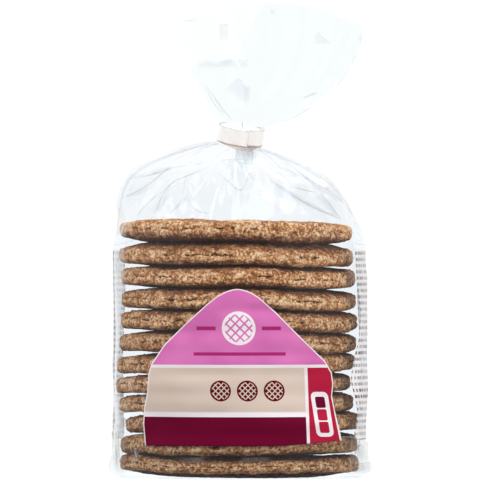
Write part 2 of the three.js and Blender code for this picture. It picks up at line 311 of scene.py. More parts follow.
def panel(start, end, slide):
    """The film from one crease to the next round the front or the back: straight, then on the waffles, then straight.
    slide is how far the waffles there have moved to the right."""
    middle = np.array([slide, 0.0])
    a0, a1 = (math.atan2(p[1], p[0]) for p in (start - middle, end - middle))
    if a1 < a0:
        a1 += 2 * math.pi
    t0 = a0 + math.acos(min(1.0, CONTACT_RADIUS / math.hypot(*(start - middle))))
    t1 = a1 - math.acos(min(1.0, CONTACT_RADIUS / math.hypot(*(end - middle))))
    arc = np.linspace(t0, t1, 60)
    round_part = middle + CONTACT_RADIUS * np.stack([np.cos(arc), np.sin(arc)], axis=1)
    return np.vstack([start, round_part, end])


def side_panel(start, end):
    """The film across a side, bowed out to its middle."""
    reach = HALF_WIDTH * math.copysign(1.0, start[0])
    heights = np.linspace(0.0, 1.0, 30)[:, None]
    down = np.hstack([mix(reach, start[0], heights**2), start[1] * heights])[::-1]
    up = np.hstack([mix(reach, end[0], heights**2), end[1] * heights])
    return np.vstack([down, up[1:]])


def plan(height, around):
    """The film's plan at a height, anticlockwise from the front right crease."""
    side_count = around // 8
    front_count = around // 2 - side_count
    right, back_right = crease_point(1, False, height), crease_point(1, True, height)
    back_left, left = crease_point(-1, True, height), crease_point(-1, False, height)
    slide = track(sorted((z, x) for x, z, _ in WAFFLE_PLACES), height)
    return np.vstack([
        even(side_panel(right, back_right), side_count),
        even(panel(back_right, back_left, slide), front_count),
        even(side_panel(back_left, left), side_count),
        even(panel(left, right, slide), front_count),
    ])


def sideness(x):
    """0 on the front and the back, 1 in the middle of a side"""
    return smoothstep(np.abs(x) / HALF_WIDTH, 0.5, 1.0)


def body_top(x):
    return mix(FRONT_TOP, SIDE_TOP, sideness(x))


def on_neck(x, y, height):
    """A point of the neck's own frame, which leans to the front and dips to the right, in the bag's frame."""
    lean, dip = NECK["lean"], NECK["dip"]
    x1, z1 = x * math.cos(dip) + height * math.sin(dip), height * math.cos(dip) - x * math.sin(dip)
    y2, z2 = y * math.cos(lean) - z1 * math.sin(lean), y * math.sin(lean) + z1 * math.cos(lean)
    return np.stack([x1, y2, z2 + NECK["height"]], axis=-1)


def neck_ring(outline, height, pleat):
    """The gathered film in the neck. The neck's ring point for each point of the plan."""
    angle = np.arctan2(outline[:, 1] / CONTACT_RADIUS, outline[:, 0] / HALF_WIDTH)
    wide, deep = NECK["half_width"] - pleat, NECK["half_depth"] - pleat
    return on_neck(wide * np.cos(angle), deep * np.sin(angle), np.full(len(angle), float(height)))


def body_grid(around, rows):
    """The film round the stack, from the floor to the top of the stack, as rows of points."""
    grid = []
    for level in np.linspace(0.0, FRONT_TOP, rows):
        outline = plan(level, around)
        squeeze_from = 66.0
        raised = max(0.0, level - squeeze_from) / (FRONT_TOP - squeeze_from)
        z = min(level, squeeze_from) + raised * (body_top(outline[:, 0]) - squeeze_from)
        spread = EDGE["proud"] * np.exp(-(((z - EDGE["height"]) / EDGE["reach"]) ** 2))
        spread -= EDGE["rounding"] * np.maximum(0.0, 1 - z / EDGE["height"]) ** 2
        scale = 1 + spread / HALF_WIDTH
        grid.append(np.column_stack([outline * scale[:, None], z]))
    return np.array(grid)


def profile(points, share):
    """A shoulder outline's share of the way out and of the way up, at a share of its length."""
    points = np.array(points, float)
    out = (points[:, 0] - points[-1, 0]) / (points[0, 0] - points[-1, 0])
    up = (points[:, 1] - points[0, 1]) / (points[-1, 1] - points[0, 1])
    steps = np.hypot(np.diff(points[:, 0]), np.diff(points[:, 1]))
    length = np.concatenate([[0.0], np.cumsum(steps)]) / steps.sum()
    return np.interp(share, length, out), np.interp(share, length, up)


def rounded(points, times=2):
    """The same line with its corners cut, and its ends kept."""
    points = np.array(points, float)
    for _ in range(times):
        early = points[:-1] * 0.75 + points[1:] * 0.25
        late = points[:-1] * 0.25 + points[1:] * 0.75
        points = np.vstack([points[:1], np.stack([early, late], 1).reshape(-1, 2), points[-1:]])
    return points


def shoulder_grid(around, rows):
    """The film from the top of the stack up into the neck, as rows of points."""
    outline = plan(FRONT_TOP, around)
    x, y = outline.T
    neck = neck_ring(outline, -NECK["half_length"], 0.0)
    side = sideness(x)
    grid = []
    curves = [rounded(c) for c in (FRONT_SHOULDER, LEFT_SHOULDER, RIGHT_SHOULDER)]
    for share in np.linspace(0.0, 1.0, rows):
        front, left, right = (profile(c, share) for c in curves)
        beside = np.where(x < 0, left[0], right[0]), np.where(x < 0, left[1], right[1])
        out, up = mix(front[0], beside[0], side), mix(front[1], beside[1], side)
        z = mix(body_top(x), neck[:, 2], up)
        grid.append(np.column_stack([mix(neck[:, 0], x, out), mix(neck[:, 1], y, out), z]))
    return np.array(grid)


def grid_normals(grid, closed=True):
    """The outward direction at each point of a grid whose rows go round anticlockwise and whose columns go up."""
    if closed:
        around = np.roll(grid, -1, axis=1) - np.roll(grid, 1, axis=1)
    else:
        around = np.gradient(grid, axis=1)
    up = np.gradient(grid, axis=0)
    normals = np.cross(around, up)
    return normals / np.maximum(np.linalg.norm(normals, axis=2, keepdims=True), 1e-9)


def line_distance(x, z, line):
    """The distance from each point to a line of points, and the side of the line that it lies on."""
    best = np.full(x.shape, 1e9)
    side = np.zeros(x.shape)
    for (x0, z0), (x1, z1) in zip(line, line[1:]):
        dx, dz = x1 - x0, z1 - z0
        share = np.clip(((x - x0) * dx + (z - z0) * dz) / (dx * dx + dz * dz), 0, 1)
        away = np.hypot(x - x0 - share * dx, z - z0 - share * dz)
        nearer = away < best
        side = np.where(nearer, np.sign((x - x0) * dz - (z - z0) * dx), side)
        best = np.where(nearer, away, best)
    return best, side


def fold_relief(grid, folds):
    """How far the folds lift each point of the front. A fold is a ridge with a flat slope on each side."""
    x, y, z = (grid[..., i] for i in range(3))
    relief = np.zeros(x.shape)
    facing = smoothstep(-y, 1.0, 7.0)
    for line, height, left_reach, right_reach in folds:
        away, side = line_distance(x, z, rounded(line, 1))
        reach = np.where(side < 0, left_reach, right_reach)
        rounded_away = np.sqrt(away**2 + 0.25**2) - 0.25
        ridge = np.maximum(0.0, 1 - rounded_away / reach)
        ends = np.minimum(np.hypot(x - line[0][0], z - line[0][1]), np.hypot(x - line[-1][0], z - line[-1][1]))
        relief += facing * height * ridge * smoothstep(ends, -2.0, 5.0)
    return relief


BODY_AROUND, BODY_ROWS = 400, 112
SHOULDER_AROUND, SHOULDER_ROWS = 480, 92


@functools.cache
def wrapped_film(part):
    """The film round the stack or over its shoulder, with its dips, creases and folds."""
    if part == "body":
        grid = body_grid(BODY_AROUND, BODY_ROWS)
    else:
        grid = shoulder_grid(SHOULDER_AROUND, SHOULDER_ROWS)
    x, y, z = (grid[..., i] for i in range(3))
    angle = np.arctan2(y, x)
    arc = angle * CONTACT_RADIUS
    facing = 1 - smoothstep(np.abs(x), 14.0, 45.0)
    side = sideness(x)
    share = np.linspace(0.0, 1.0, len(grid))[:, None]
    lift = np.zeros(x.shape)
    if part == "body":
        # The film dips between the waffles, unevenly, and fades out where it stands off them.
        middles = np.array([height for _, height, _ in WAFFLE_PLACES])
        gaps = (middles[1:] + middles[:-1]) / 2
        for gap in gaps:
            depth = 0.55 + 0.45 * grain(arc, z + gap, 17.0, 11)
            lift -= depth * facing * np.exp(-(((z - gap) / 1.9) ** 2))
        lift += facing * 0.22 * grain(arc, z, 14.0, 5)
        lift += 0.16 * crinkle(arc, z, 16.0, 21) * mix(0.5, 1.6, side)
        lift += 0.5 * side * grain(arc, z, 11.0, 9)
        lift *= smoothstep(z, 0.4, 5.0)
    else:
        # Pleats gather towards the neck, and loose creases cross the slope.
        turns = angle / (2 * math.pi) * 64.0
        reach = np.hypot(x, y)
        pleat = 1.0 - 2.0 * np.abs(grain(turns * 5.0, share * 6.0, 8.0, 33))
        fine = 1.0 - 2.0 * np.abs(grain(turns * 5.0, share * 4.0 + 9.0, 3.6, 34))
        near_neck = smoothstep(share, 0.25, 0.95)
        lift += pleat * np.sin(math.pi * np.clip(share, 0, 1)) * 1.1
        lift += fine * near_neck * np.minimum(1.0, reach / 14.0) * 1.0
        lift += 1.6 * crinkle(arc, z, 15.0, 41) * np.sin(math.pi * share) ** 0.5
        lift += 0.7 * crinkle(arc, z, 6.5, 42) * np.sin(math.pi * share) ** 0.5
        lift *= smoothstep(share, 0.0, 0.06)
        lift *= 1 - 0.4 * smoothstep(share, 0.93, 1.0)
    lift += fold_relief(grid, FRONT_FOLDS)
    if part == "body":
        lift *= smoothstep(z, 0.3, 3.0)
    return grid + grid_normals(grid) * lift[..., None]


def fan_top(x, front):
    fall = np.where(x < FAN_PEAK["x"], FAN_PEAK["left_fall"], FAN_PEAK["right_fall"])
    drop = FAN_LIP["drop"] * smoothstep(FAN_LIP["x"] - x, -FAN_LIP["reach"], FAN_LIP["reach"]) * front
    return FAN_PEAK["height"] - fall * (x - FAN_PEAK["x"]) ** 2 - drop


def fan_grid(around, rows):
    """The loose film above the tape: a flattened tube that spreads out, mostly to the right."""
    angle = np.linspace(0.0, 2 * math.pi, around, endpoint=False)
    across, face = np.cos(angle), np.sin(angle)
    wide = (across + 1) / 2
    front = smoothstep(-face, 0.0, 0.5)
    final_x = mix(-FAN_LEFT, FAN_RIGHT, wide)
    start = on_neck(NECK["half_width"] * across, NECK["half_depth"] * face, np.full(around, -1.0))
    mouth = on_neck(NECK["half_width"] * across, NECK["half_depth"] * face, np.full(around, NECK["half_length"]))
    neck_rows = 8
    grid = []
    for j in range(neck_rows):
        share = j / neck_rows
        ridges = 1.0 - 2.0 * np.abs(grain(angle * 30.0, share + 2.0, 6.0, 52))
        pinch = 1 + 0.05 * ridges[:, None] * np.array([1.0, 1.0, 0.0])
        grid.append(mix(start, mouth, share) * pinch)
    for share in np.linspace(0.0, 1.0, rows - neck_rows):
        turn = share * math.pi / 2
        right = mix(NECK["half_width"], FAN_RIGHT, math.sin(turn) ** 0.9)
        left = -mix(NECK["half_width"], FAN_LEFT, share**0.85)
        x = mix(left, right, wide)
        rise = mix(share, (1 - math.cos(turn)) ** 0.75, smoothstep(wide, 0.5, 1.0))
        z = mix(mouth[:, 2], fan_top(final_x, front), rise)
        # Both plies share the wide waves, and each has its own narrow ones.
        spread = math.sin(turn)
        wave = 4.2 * share * np.sin(final_x / 6.4 + 1.1 * share) + 1.8 * share * np.sin(final_x / 2.9 + 2.0)
        own = 1.3 * spread * (1.0 - 2.0 * np.abs(grain(final_x, face * 9 + share * 7, 5.0, 53)))
        gap = mix(NECK["half_depth"], 5.5, smoothstep(share, 0, 0.6)) * np.sign(face) * np.abs(face) ** 0.6
        y = gap + (wave + own * np.sign(face)) * np.abs(face) ** 0.5
        y = mix(mouth[:, 1], y, smoothstep(share, 0.0, 0.35))
        grid.append(np.column_stack([x + mouth[:, 0] * 0 + 0.0, y, z]))
    grid = np.array(grid)
    grid[..., 1] -= 2.2 * smoothstep(grid[..., 2], 140.0, 185.0)
    share = np.linspace(0.0, 1.0, len(grid))[:, None]
    loose = smoothstep(share, 0.12, 0.5)
    relief = 0.7 * crinkle(grid[..., 0] * 1.0 + 90 * np.sign(face), grid[..., 2], 11.0, 55)
    relief += 0.35 * crinkle(grid[..., 0] + 70 * np.sign(face), grid[..., 2], 5.0, 56)
    return grid + grid_normals(grid) * (relief * loose)[..., None]


def gather_grid(around, rows):
    """The bundle of folded film inside the tape. Below it the bundle narrows, and above it ends in a loose tuft."""
    angle = np.linspace(0.0, 2 * math.pi, around, endpoint=False)
    grid = []
    for share in np.linspace(0.0, 1.0, rows):
        height = mix(*GATHER, share)
        girth = mix(0.42, 1.0, smoothstep(height, -6.0, -3.4)) * math.sqrt(1 - smoothstep(height, 1.4, GATHER[1] + 0.1) ** 1.5)
        pleats = 1.0 - 2.0 * np.abs(grain(angle * 30.0, height * 0.35, 5.0, 61))
        reach = (0.98 + 0.06 * pleats) * max(girth, 0.03)
        wide, deep = NECK["half_width"] * reach, NECK["half_depth"] * reach
        top = height + 0.9 * pleats * smoothstep(height, 1.0, 5.0)
        aside = 3.0 * (1 - smoothstep(height, -7.0, -3.4))
        grid.append(on_neck(wide * np.cos(angle) + aside, deep * np.sin(angle), top))
    return np.array(grid)


def surface_depth(cloud, x, z):
    """The depth at (x, z) of a surface that is given as many points."""
    away = (cloud[:, 0, None] - x) ** 2 + (cloud[:, 2, None] - z) ** 2
    nearest = np.argpartition(away, 5, axis=0)[:5]
    weight = 1 / (np.take_along_axis(away, nearest, 0) + 0.02)
    return (cloud[nearest, 1] * weight).sum(0) / weight.sum(0)


def pleat_grid(corners, cloud, seed):
    """A pleat as a grid of points on a surface, tight at its folded edge and lifted at the other."""
    a, b, c, d = (np.array(corner) for corner in corners)
    u, v = np.meshgrid(np.linspace(0, 1, 22), np.linspace(0, 1, 22) ** 1.7)
    flat = mix(mix(a, b, u[..., None]), mix(d, c, u[..., None]), v[..., None])
    x, z = flat[..., 0], flat[..., 1]
    depth = surface_depth(cloud, x.ravel(), z.ravel()).reshape(x.shape)
    tight = np.sqrt(np.clip(v / 0.07, 0, 1))
    lift = 0.15 + 0.75 * tight + 0.6 * v + 0.4 * np.sin(math.pi * v) + 0.25 * tight * grain(x, z, 3.0, seed)
    merge = np.maximum(smoothstep(v, 0.45, 1.0), smoothstep(np.abs(2 * u - 1), 0.7, 1.0))
    return np.stack([x, depth - lift, z], axis=-1), merge, 0.45 * np.exp(-v / 0.05) * (1 - merge)


def crease_grid(line, cloud):
    """A tight crease as a narrow raised strip that runs along a line of (x, z) points on a surface."""
    line = rounded(line)
    steps = np.concatenate([[0.0], np.cumsum(np.hypot(*np.diff(line, axis=0).T))])
    along = np.linspace(0.0, steps[-1], 44)
    middle = np.stack([np.interp(along, steps, line[:, i]) for i in (0, 1)], axis=1)
    run = np.gradient(middle, axis=0)
    aside = np.stack([-run[:, 1], run[:, 0]], axis=1) / np.linalg.norm(run, axis=1)[:, None]
    taper = np.sin(math.pi * np.linspace(0.03, 0.97, 44)) ** 0.6
    across = np.array([-0.3, -0.15, 0.0, 0.15, 0.3])
    flat = middle + across[:, None, None] * aside * taper[:, None]
    x, z = flat[..., 0], flat[..., 1]
    depth = surface_depth(cloud, x.ravel(), z.ravel()).reshape(x.shape)
    lift = 0.15 + 0.55 * (1 - (across / 0.3) ** 2)[:, None] * taper
    worn = 0.38 * taper * (0.75 + 0.5 * grain(x, z, 4.0, 87))
    return np.stack([x, depth - lift, z], axis=-1), np.zeros(x.shape), worn


# ---- Making objects


def new_mesh_object(name, vertices, faces, smooth=True):
    mesh = bpy.data.meshes.new(name)
    mesh.from_pydata([tuple(v) for v in np.asarray(vertices) * MM], [], [tuple(f) for f in faces])
    mesh.validate()
    mesh.shade_smooth() if smooth else mesh.shade_flat()
    piece = bpy.data.objects.new(name, mesh)
    bpy.context.scene.collection.objects.link(piece)
    return piece


def grid_faces(rows, columns, closed):
    """The quads of a grid, facing out where its rows go round anticlockwise and its columns go up."""
    j, k = np.meshgrid(np.arange(rows - 1), np.arange(columns if closed else columns - 1), indexing="ij")
    after = (k + 1) % columns
    quads = np.stack([j * columns + k, j * columns + after, (j + 1) * columns + after, (j + 1) * columns + k], -1)
    return quads.reshape(-1, 4)


def give_uv(piece, u, v):
    """A UV map from a value pair at each vertex, in millimetres of the printed or woven surface."""
    mesh = piece.data
    corner = np.zeros(len(mesh.loops), np.int32)
    mesh.loops.foreach_get("vertex_index", corner)
    layer = mesh.uv_layers.new(name="UVMap")
    layer.data.foreach_set("uv", np.stack([u[corner], v[corner]], 1).astype(np.float32).ravel())


def give_attribute(piece, name, values):
    attribute = piece.data.attributes.new(name, "FLOAT", "POINT")
    attribute.data.foreach_set("value", np.asarray(values, np.float32))


def coordinates(piece):
    """Where a piece's vertices are, in millimetres."""
    flat = np.zeros(3 * len(piece.data.vertices), np.float32)
    piece.data.vertices.foreach_get("co", flat)
    return flat.reshape(-1, 3) / MM


def sheet_object(name, grid, closed, thickness, uv=None):
    """A thin wall on a grid of points. The grid is its outer face, and it has both faces and closed edges."""
    rows, columns = grid.shape[:2]
    piece = new_mesh_object(name, grid.reshape(-1, 3), grid_faces(rows, columns, closed))
    if uv is not None:
        give_uv(piece, uv[0].ravel(), uv[1].ravel())
    wall = piece.modifiers.new("Wall", "SOLIDIFY")
    wall.thickness = thickness * MM
    wall.offset = -1.0
    wall.use_even_offset = False
    bake_modifiers(piece)
    return piece


def closed_tube(name, grid):
    """A solid tube on a grid of points, closed at both ends."""
    rows, columns = grid.shape[:2]
    vertices = [*grid.reshape(-1, 3), grid[0].mean(0), grid[-1].mean(0)]
    last = (rows - 1) * columns
    faces = [*map(tuple, grid_faces(rows, columns, True))]
    faces += [((k + 1) % columns, k, rows * columns) for k in range(columns)]
    faces += [(last + k, last + (k + 1) % columns, rows * columns + 1) for k in range(columns)]
    return new_mesh_object(name, vertices, faces)


def sheets_object(name, grids, merges, creases, thickness):
    """Several thin walls in one piece, each on its own grid of points."""
    faces, start = [], 0
    for grid in grids:
        quads = grid_faces(*grid.shape[:2], False) + start
        across = np.cross(grid[0, 1] - grid[0, 0], grid[1, 0] - grid[0, 0])
        faces.append(quads if across[1] < 0 else quads[:, ::-1])
        start += grid.shape[0] * grid.shape[1]
    piece = new_mesh_object(name, np.concatenate([g.reshape(-1, 3) for g in grids]), np.concatenate(faces))
    give_attribute(piece, "merge", np.concatenate([m.ravel() for m in merges]))
    give_attribute(piece, "crease", np.concatenate([c.ravel() for c in creases]))
    wall = piece.modifiers.new("Wall", "SOLIDIFY")
    wall.thickness = thickness * MM
    wall.offset = -1.0
    bake_modifiers(piece)
    return piece


def bake_modifiers(piece):
    """Turns what a piece's modifiers make into its own plain mesh."""
    graph = bpy.context.evaluated_depsgraph_get()
    made = bpy.data.meshes.new_from_object(piece.evaluated_get(graph), depsgraph=graph)
    piece.modifiers.clear()
    old = piece.data
    piece.data = made
    made.name = old.name
    bpy.data.meshes.remove(old)


def finish_piece(piece, material, slot, *replaced):
    if material is not None:
        piece.data.materials.clear()
        piece.data.materials.append(material)
    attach(piece, "root")
    if replaced:
        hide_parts(*replaced)


def add(tree, kind, settings=None, inputs=None):
    """Adds a node. A setting named stops fills a colour ramp, and an input is a value or another node's socket."""
    node = tree.nodes.new(kind)
    for name, value in (settings or {}).items():
        if name == "stops":
            ramp = node.color_ramp.elements
            while len(ramp) < len(value):
                ramp.new(1.0)
            for element, (place, colour) in zip(ramp, value):
                element.position = place
                element.color = colour
        else:
            setattr(node, name, value)
    for name, value in (inputs or {}).items():
        if isinstance(value, bpy.types.NodeSocket):
            tree.links.new(value, node.inputs[name])
        else:
            node.inputs[name].default_value = value
    return node


def new_material(name):
    material = bpy.data.materials.new(name)
    material.use_nodes = True
    material.node_tree.nodes.clear()
    return material, material.node_tree


# ---- Materials


def baked_wafer_material(colours):
    """Baked wafer dough: a toasted skin on both faces, and a dry, open crumb along the cut edge."""
    material, tree = new_material("Baked wafer dough")
    place = add(tree, "ShaderNodeTexCoord").outputs["Object"]
    cut = add(tree, "ShaderNodeAttribute", {"attribute_name": "cut"}).outputs["Fac"]
    level = add(tree, "ShaderNodeAttribute", {"attribute_name": "level"}).outputs["Fac"]
    hollow = add(tree, "ShaderNodeAttribute", {"attribute_name": "hollow"}).outputs["Fac"]
    # Crumbs are about half a millimetre across, and the browning drifts over 6 mm or so.
    crumbs = add(tree, "ShaderNodeTexNoise", None, {"Vector": place, "Scale": 1 / (0.9 * MM), "Detail": 3.0, "Roughness": 0.65})
    drift = add(tree, "ShaderNodeTexNoise", None, {"Vector": place, "Scale": 1 / (6 * MM), "Detail": 2.0})
    speck = add(tree, "ShaderNodeTexVoronoi", None, {"Vector": place, "Scale": 1 / (1.3 * MM), "Randomness": 1.0})
    # Raised grains are painted paler and the pits between them darker: painted shade in the pits, over the crumb's own
    # mottling.
    relief = add(tree, "ShaderNodeAttribute", {"attribute_name": "relief"}).outputs["Fac"]
    tone = add(tree, "ShaderNodeMath", {"operation": "MULTIPLY_ADD"}, {0: relief, 1: 0.19, 2: crumbs.outputs["Fac"]})
    drifted = add(tree, "ShaderNodeMath", {"operation": "MULTIPLY_ADD"}, {0: drift.outputs["Fac"], 1: 0.5, 2: -0.25})
    tone = add(tree, "ShaderNodeMath", {"operation": "ADD"}, {0: tone.outputs[0], 1: drifted.outputs[0]})
    # The faces are pressed smooth, and vary less than the edge.
    calm = add(tree, "ShaderNodeMapRange", None, {"Value": cut, "To Min": 0.5, "To Max": 1.0})
    tone = add(tree, "ShaderNodeMath", {"operation": "SUBTRACT"}, {0: tone.outputs[0], 1: 0.5})
    tone = add(tree, "ShaderNodeMath", {"operation": "MULTIPLY_ADD"}, {0: tone.outputs[0], 1: calm.outputs[0], 2: 0.5})
    crumb_colour = add(tree, "ShaderNodeValToRGB", {"stops": [
        (0.32, srgb(colours.crumb_dark)), (0.48, srgb(colours.crumb)), (0.64, srgb(colours.crumb_light)),
    ]}, {"Fac": tone.outputs[0]})
    skin_colour = add(tree, "ShaderNodeValToRGB", {"stops": [
        (0.34, srgb(colours.skin_dark)), (0.50, srgb(colours.skin)), (0.64, srgb(colours.skin_light)),
    ]}, {"Fac": tone.outputs[0]})
    # The iron's squares stay paler than the ridges between them.
    uncut = add(tree, "ShaderNodeMath", {"operation": "SUBTRACT"}, {0: 1.0, 1: cut})
    pressed = add(tree, "ShaderNodeAttribute", {"attribute_name": "pressed"}).outputs["Fac"]
    browned = add(tree, "ShaderNodeMapRange", None, {"Value": pressed, "To Min": 0.5, "To Max": 0.0})
    browned = add(tree, "ShaderNodeMath", {"operation": "MULTIPLY"}, {0: browned.outputs[0], 1: uncut.outputs[0]})
    skin_colour = add(tree, "ShaderNodeMix", {"data_type": "RGBA"}, {
        0: browned.outputs[0], 6: skin_colour.outputs[0], 7: srgb(colours.skin_dark)})
    # The skin wraps over the top and bottom of the edge, with a ragged border.
    high = add(tree, "ShaderNodeMath", {"operation": "ABSOLUTE"}, {0: level})
    ragged = add(tree, "ShaderNodeMath", {"operation": "MULTIPLY_ADD"}, {0: drift.outputs["Fac"], 1: 0.9, 2: high.outputs[0]})
    ragged = add(tree, "ShaderNodeMath", {"operation": "MULTIPLY_ADD"}, {0: crumbs.outputs["Fac"], 1: 0.5, 2: ragged.outputs[0]})
    over = add(tree, "ShaderNodeMapRange", {"interpolation_type": "SMOOTHSTEP"}, {
        "Value": ragged.outputs[0], "From Min": 1.12, "From Max": 1.42})
    skin_share = add(tree, "ShaderNodeMath", {"operation": "MAXIMUM"}, {0: over.outputs[0], 1: uncut.outputs[0]})
    base = add(tree, "ShaderNodeMix", {"data_type": "RGBA"}, {
        0: skin_share.outputs[0], 6: crumb_colour.outputs[0], 7: skin_colour.outputs[2]})
    # A few dark specks, painted shade inside holes, and the dark caramel along the seam
    dots = add(tree, "ShaderNodeMapRange", {"interpolation_type": "SMOOTHSTEP"}, {
        "Value": speck.outputs["Distance"], "From Min": 0.16, "From Max": 0.30, "To Min": 0.55, "To Max": 0.0})
    shade = add(tree, "ShaderNodeMath", {"operation": "MAXIMUM"}, {0: dots.outputs[0], 1: hollow})
    base = add(tree, "ShaderNodeMix", {"data_type": "RGBA"}, {
        0: shade.outputs[0], 6: base.outputs[2], 7: srgb(colours.hollow)})
    # Toasting and painted shade darken the edge: the shade under the waffle above is painted in with the toasting.
    toast = add(tree, "ShaderNodeAttribute", {"attribute_name": "toast"}).outputs["Fac"]
    patchy = add(tree, "ShaderNodeMapRange", None, {"Value": tone.outputs[0], "From Min": 0.3, "From Max": 0.7,
                                                    "To Min": 1.3, "To Max": 0.5})
    # Beyond 1 it turns as dark as a hole: painted shadow under the bottom waffle, where the stack stands on the bag.
    underside_shadow = add(tree, "ShaderNodeMath", {"operation": "SUBTRACT", "use_clamp": True}, {0: toast, 1: 1.0})
    toast = add(tree, "ShaderNodeMath", {"operation": "MULTIPLY", "use_clamp": True}, {0: toast, 1: patchy.outputs[0]})
    base = add(tree, "ShaderNodeMix", {"data_type": "RGBA"}, {
        0: toast.outputs[0], 6: base.outputs[2], 7: srgb(colours.toasted_and_shaded)})
    base = add(tree, "ShaderNodeMix", {"data_type": "RGBA"}, {
        0: underside_shadow.outputs[0], 6: base.outputs[2], 7: srgb(colours.underside_shadow)})
    # Painted shade: each waffle's colour is scaled down for its place in the stack, darker towards the bottom.
    bake = add(tree, "ShaderNodeAttribute", {"attribute_name": "bake"}).outputs["Fac"]
    base = add(tree, "ShaderNodeVectorMath", {"operation": "SCALE"}, {0: base.outputs[2], "Scale": bake})
    bump = add(tree, "ShaderNodeBump", None, {"Strength": 0.8, "Distance": 0.35 * MM, "Height": crumbs.outputs["Fac"]})
    surface = add(tree, "ShaderNodeBsdfPrincipled", None, {
        "Base Color": base.outputs[0], "Roughness": 0.82, "IOR": 1.45, "Specular IOR Level": 0.3,
        "Normal": bump.outputs[0]})
    add(tree, "ShaderNodeOutputMaterial", None, {"Surface": surface.outputs[0]})
    return material


def cooked_caramel_material(colours):
    """Cooked caramel syrup: dark, sticky and glossy."""
    material, tree = new_material("Cooked caramel")
    place = add(tree, "ShaderNodeTexCoord").outputs["Object"]
    streak = add(tree, "ShaderNodeTexNoise", None, {"Vector": place, "Scale": 1 / (2.5 * MM), "Detail": 2.0})
    colour = add(tree, "ShaderNodeValToRGB", {"stops": [
        (0.35, srgb(colours.caramel_dark)), (0.65, srgb(colours.caramel))]}, {"Fac": streak.outputs["Fac"]})
    surface = add(tree, "ShaderNodeBsdfPrincipled", None, {
        "Base Color": colour.outputs[0], "Roughness": 0.35, "IOR": 1.48})
    add(tree, "ShaderNodeOutputMaterial", None, {"Surface": surface.outputs[0]})
    return material


def clear_film_material(film, name, shade):
    """Oriented polypropylene film: clear, faintly blue, and as glossy as glass where it turns edge-on."""
    material, tree = new_material(name)
    place = add(tree, "ShaderNodeTexCoord").outputs["Object"]
    # Stretch marks finer than the mesh, a millimetre or two apart
    ripple = add(tree, "ShaderNodeTexNoise", None, {"Vector": place, "Scale": 1 / (3.0 * MM), "Detail": 2.0})
    bump = add(tree, "ShaderNodeBump", None, {"Strength": 0.10, "Distance": 0.3 * MM, "Height": ripple.outputs["Fac"]})
    # A wall tints and reflects once, where light enters it. It leaves by the other face unchanged.
    leaving = add(tree, "ShaderNodeNewGeometry").outputs["Backfacing"]
    tint = add(tree, "ShaderNodeMix", {"data_type": "RGBA"}, {0: leaving, 6: srgb(shade), 7: (1, 1, 1, 1)})
    merge = add(tree, "ShaderNodeAttribute", {"attribute_name": "merge"}).outputs["Fac"]
    tint = add(tree, "ShaderNodeMix", {"data_type": "RGBA"}, {0: merge, 6: tint.outputs[2], 7: (1, 1, 1, 1)})
    through = add(tree, "ShaderNodeBsdfTransparent", None, {"Color": tint.outputs[2]})
    gloss = add(tree, "ShaderNodeBsdfPrincipled", None, {
        "Base Color": (0.96, 0.98, 1.0, 1), "Metallic": 1.0, "Roughness": film.roughness, "Normal": bump.outputs[0]})
    facing = add(tree, "ShaderNodeLayerWeight", None, {"Blend": 0.5, "Normal": bump.outputs[0]}).outputs["Facing"]
    edge_on = add(tree, "ShaderNodeMath", {"operation": "POWER"}, {0: facing, 1: 5.0})
    share = add(tree, "ShaderNodeMapRange", None, {
        "Value": edge_on.outputs[0], "To Min": film.reflectance, "To Max": film.edge_reflectance})
    # Along a tight crease the film stands edge-on, finer than the mesh shows.
    crease = add(tree, "ShaderNodeAttribute", {"attribute_name": "crease"}).outputs["Fac"]
    share = add(tree, "ShaderNodeMath", {"operation": "MAXIMUM"}, {0: share.outputs[0], 1: crease})
    entering = add(tree, "ShaderNodeMath", {"operation": "SUBTRACT"}, {0: 1.0, 1: leaving})
    share = add(tree, "ShaderNodeMath", {"operation": "MULTIPLY"}, {0: share.outputs[0], 1: entering.outputs[0]})
    single = add(tree, "ShaderNodeMath", {"operation": "SUBTRACT"}, {0: 1.0, 1: merge})
    share = add(tree, "ShaderNodeMath", {"operation": "MULTIPLY"}, {0: share.outputs[0], 1: single.outputs[0]})
    both = add(tree, "ShaderNodeMixShader", None, {0: share.outputs[0], 1: through.outputs[0], 2: gloss.outputs[0]})
    add(tree, "ShaderNodeOutputMaterial", None, {"Surface": both.outputs[0]})
    return material


def gathered_film_material(film):
    """The same film in dozens of tight folds, which scatter light and look milky."""
    material, tree = new_material("Gathered polypropylene film")
    place = add(tree, "ShaderNodeTexCoord").outputs["Object"]
    streaks = add(tree, "ShaderNodeTexNoise", None, {"Vector": place, "Scale": 1 / (1.5 * MM), "Detail": 2.0})
    share = add(tree, "ShaderNodeMapRange", None, {"Value": streaks.outputs["Fac"], "From Min": 0.3, "From Max": 0.7,
                                                   "To Min": 0.75, "To Max": 0.95})
    bump = add(tree, "ShaderNodeBump", None, {"Strength": 0.25, "Distance": 0.3 * MM, "Height": streaks.outputs["Fac"]})
    through = add(tree, "ShaderNodeBsdfTransparent", None, {"Color": srgb(film.tint)})
    milky = add(tree, "ShaderNodeBsdfPrincipled", None, {
        "Base Color": srgb("#FCFDFD"), "Roughness": 0.35, "IOR": 1.49, "Normal": bump.outputs[0]})
    spread = add(tree, "ShaderNodeAttribute", {"attribute_name": "spread"}).outputs["Fac"]
    share = add(tree, "ShaderNodeMath", {"operation": "MULTIPLY_ADD"}, {0: spread, 1: -0.62, 2: share.outputs[0]})
    both = add(tree, "ShaderNodeMixShader", None, {0: share.outputs[0], 1: through.outputs[0], 2: milky.outputs[0]})
    add(tree, "ShaderNodeOutputMaterial", None, {"Surface": both.outputs[0]})
    return material


